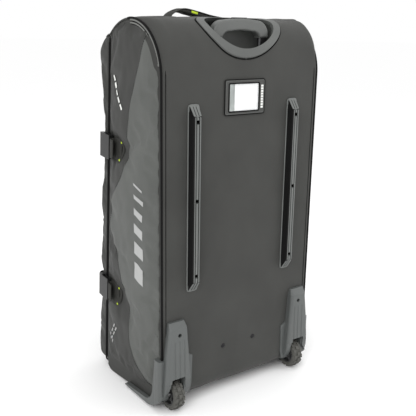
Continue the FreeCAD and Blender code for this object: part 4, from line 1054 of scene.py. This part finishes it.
def rail_trim(side):
    """A rail's rim, dark flange strips of painted shadow beside it, and the two grooves carried down its sloping
    ends in painted shade.
    """
    low, high = box_of(f"{hand(side)}_skid_rail")
    x, top = (low[0] + high[0]) / 2, low[1]
    places = [((x + s * 11.9, -2.55, (low[2] + high[2]) / 2), (0, 0, 1), (1, 0, 0)) for s in (-1, 1)]
    parts = [blocks("flange", places, (high[2] - low[2] - 26, 3.0, 0.4), RAIL_SHADE),
             ring(low[0] - 0.4, high[0] + 0.4, low[2] - 0.4, high[2] + 0.4, -1.6, 1.5, RAIL, 7.0)]
    lines = []
    for s in (-3.6, 3.6):
        for z, way in ((low[2], 1), (high[2], -1)):
            middle = (x + s, (top + RAIL_FLANGE_Y) / 2 - 0.05, z + way * RAIL_SLOPE / 2)
            lines.append((middle, (0, top - RAIL_FLANGE_Y, way * RAIL_SLOPE), (1, 0, 0)))
    parts.append(blocks("end_grooves", lines, (25.0, 1.7, 0.4), RAIL_SHADE))
    return finish_piece(join(f"{hand(side)}_rail_trim", parts), "bag")


# ---- trim round the hard parts
def card_trim():
    """Piping round the address holder with a black cord outside it that paints the shadow at its edge, a strip of
    painted reflection behind its film and a column of plain marks beside it.
    """
    low, high = box_of("id_frame")
    film_low, film_high = box_of("id_film")
    pale = material("vinyl_edge", (0.075, 0.078, 0.073), 0.45)
    # painted reflection: a shiny strip standing in for the glare on the left of the film
    painted_glare = moulded("painted_glare", (0.3, 0.32, 0.31), 0.3, metal=0.6, spread=0.6, scale=120.0, depth=0.8)
    x0, x1 = film_low[0], film_high[0]
    z0, z1 = film_low[2], film_high[2]
    # the outer black cord paints the shadow at the holder's edge
    parts = [ring(low[0], high[0], low[2], high[2], -2.4, 1.0, THREAD_AND_SHADE),
             ring(low[0] + 2.4, high[0] - 2.4, low[2] + 2.4, high[2] - 2.4, -2.6, 0.8, pale),
             ring(x0 - 1.2, x1 + 1.2, z0 - 1.2, z1 + 1.2, -2.7, 1.5, THREAD_AND_SHADE, 2.5),
             blocks("painted_glare", [((x0 + 7.5, -2.3, (z0 + z1) / 2), (0, 0, 1), (1, 0, 0))], (z1 - z0 - 1.5, 13.0, 0.5),
                    painted_glare)]
    marks = [((x1 + 9.5, -2.8, z0 + 3 + (z1 - z0 - 6) * (k + 0.5) / 9), (0, 0, 1), (1, 0, 0)) for k in range(9)]
    parts.append(blocks("marks", marks, (4.4, 6.5, 0.5), BRIGHT_PRINT))
    return finish_piece(join("card_trim", parts), "bag")


def cup_shadow_cord():
    """Black cord in the joint between the handle cup's trim ring and the cloth, a painted shadow along that joint.
    """
    across, below, above = 110.0, 73.4, 41.8
    route = []
    for tall, angles in ((below, np.linspace(180, 360, 60)), (above, np.linspace(6, 174, 50))):
        for a in np.radians(angles):
            route.append(cup_surface(across * math.cos(a), CUP_SHIFT + tall * math.sin(a)))
    route.append(route[0])
    return finish_piece(sweep("cup_shadow_cord", route, (1, 0, 0), round_section(1.7, 10), THREAD_AND_SHADE), "bag")


def cup_surface(x, lift):
    """The point of the back-to-top curve at x, lift up the curve's slope from its 45 degree point."""
    r = MIDDLE_RADIUS
    flat = r / math.sqrt(2)
    if abs(lift) < flat:
        turn = math.asin(lift / r) - math.pi / 4
        return x, r + r * math.sin(turn), TOP - r + r * math.cos(turn)
    extra = (abs(lift) - flat) * math.sqrt(2)
    return (x, 0.0, TOP - r - extra) if lift < 0 else (x, r + extra, TOP)


# ---- inside
def lining():
    """Lining cloth that hides the tubes, slightly loose."""
    edge = HALF - 5
    xs, zs = np.linspace(-edge, edge, 60), np.linspace(108, 778, 92)
    pts = np.zeros((len(zs), len(xs), 3))
    for i, z in enumerate(zs):
        for j, x in enumerate(xs):
            rim = float(ease(min(edge - abs(x), z - 108, 778 - z) / 40))
            pts[i, j] = (x, 43.0 + rim * (1.5 + 2.0 * ripple(x, 0, z, 80.0, 21.0)), z)
    obj = grid("lining_cloth", pts, FINISH["lining"])
    thicken(obj, 0.8)
    return finish_piece(obj, "bag", ["lining_panel"])


# ---- camera, floor and light
VIEW_TURNS = (36.22, 15.13, 0.92)  # degrees to the right, down and rolled
VIEW_LENS, VIEW_PLACE = 57.82, (-928, -1137, 847)


def studio():
    """The camera, an even white sky, three soft lights and a pale floor."""
    scene = bpy.context.scene
    scene.view_settings.view_transform = "Standard"
    yaw, pitch, roll = (math.radians(a) for a in VIEW_TURNS)
    ahead = Vector((math.sin(yaw) * math.cos(pitch), math.cos(yaw) * math.cos(pitch), -math.sin(pitch)))
    right = Vector((math.cos(yaw), -math.sin(yaw), 0))
    up = right.cross(ahead)
    right, up = (math.cos(roll) * right + math.sin(roll) * up, -math.sin(roll) * right + math.cos(roll) * up)
    data = bpy.data.cameras.new("view")
    data.sensor_width = 36.0
    data.lens = VIEW_LENS
    data.clip_end = 50.0
    camera = add_object("view", data)
    camera.matrix_world = Matrix((right, up, -ahead)).transposed().to_4x4()
    camera.location = Vector(world(VIEW_PLACE)[0].tolist())
    scene.camera = camera

    scene.world = bpy.data.worlds.new("studio")
    scene.world.use_nodes = True
    dial(scene.world.node_tree.nodes["Background"], {"Color": (1.0, 1.0, 1.0, 1.0), "Strength": 1.0})

    def softbox(name, place, target, size, power):
        data = bpy.data.lights.new(name, "AREA")
        data.shape = "RECTANGLE"
        data.size, data.size_y = size
        data.energy = power
        light = add_object(name, data)
        light.location = Vector(place)
        light.rotation_euler = (Vector(target) - Vector(place)).to_track_quat("-Z", "Y").to_euler()
    softbox("key", (-2.4, -1.6, 2.3), (0, 0, 0.45), (1.6, 1.6), 37)
    softbox("over", (0.4, -0.6, 3.0), (0, 0, 0.6), (2.2, 1.6), 15)
    softbox("rim", (2.4, -2.0, 1.4), (0, 0, 0.4), (1.0, 1.8), 14)

    bpy.ops.mesh.primitive_plane_add(size=80, location=(0, 0, -0.0005))
    floor = bpy.context.object
    floor.name = "floor"
    floor.data.materials.append(material("floor_paint", (0.99, 0.99, 0.99), 0.9, spread=0.0, gloss=0.0))


# ---- build
studio()
body_cloth()
for side in (1, -1):
    label = hand(side)
    cloth = side_cloth(side)
    reach = surface_of(cloth)
    insert = wave_insert(side, reach)
    finish_piece(side_graphics(side, reach), "bag")
    edge = np.array([(side * (reach(side, y, z) + 1.3), y - 3.0, z) for y, z in wave_edge()])
    stitches = [(p, d, (side, 0, 0)) for p, d in along_route(edge, 5.2)]
    stitches = blocks(f"{label}_wave_stitches", stitches, (3.4, 0.9, 0.7), THREAD_AND_SHADE)
    finish_piece(stitches, "bag")
    patches = [anchor_patch(z, side, reach) for z in STRAPS_Z] + [bartacks(z, side, reach) for z in STRAPS_Z]
    finish_piece(join(f"{label}_strap_patches", patches), "bag", ["strap_anchor_patches"])
    thicken(insert, 0.5)
    finish_piece(insert, "bag", [f"{label}_side_insert"])
    thicken(cloth, 2.4)
    finish_piece(cloth, "bag", [f"{label}_side_panel"])
    for end, make, body in (("rear", rear_strap, "bag"), ("front", front_strap, "lid")):
        straps = [make(z, side) for z in STRAPS_Z]
        finish_piece(join(f"{label}_{end}_straps", straps), body, [f"{end}_straps"])
    finish_piece(seam_zip(side), "bag")
    edge_binding(side)
    rail_trim(side)
    # the skid rail with its side walls and grooves in painted shade
    with_painted_shade(f"{label}_skid_rail", f"{label}_rail_moulding", RAIL, RAIL_SHADE, rail_painted_shade)
lid_pad()
for name in POCKETS:
    pocket_pad(name)
finish_piece(join("pocket_zips", [pocket_zip(n) for n in POCKETS]), "lid", ["pocket_zip_tapes"])
main_zip("shell_zip_half", -1, "bag", -6.0, "main_zip_shell_tape")
main_zip("lid_zip_half", 1, "lid", -16.0, "main_zip_lid_tape")
fold_cloth()
grab_handle()
handle_roots()
card_trim()
# black cord of painted shadow round the handle cup's ring
cup_shadow_cord()
# the handle cup with its inside in painted shade
with_painted_shade("trolley_cup", "trolley_cup_moulding", FINISH["cup_plastic"], CUP_SHADE, cup_inside)
lining()
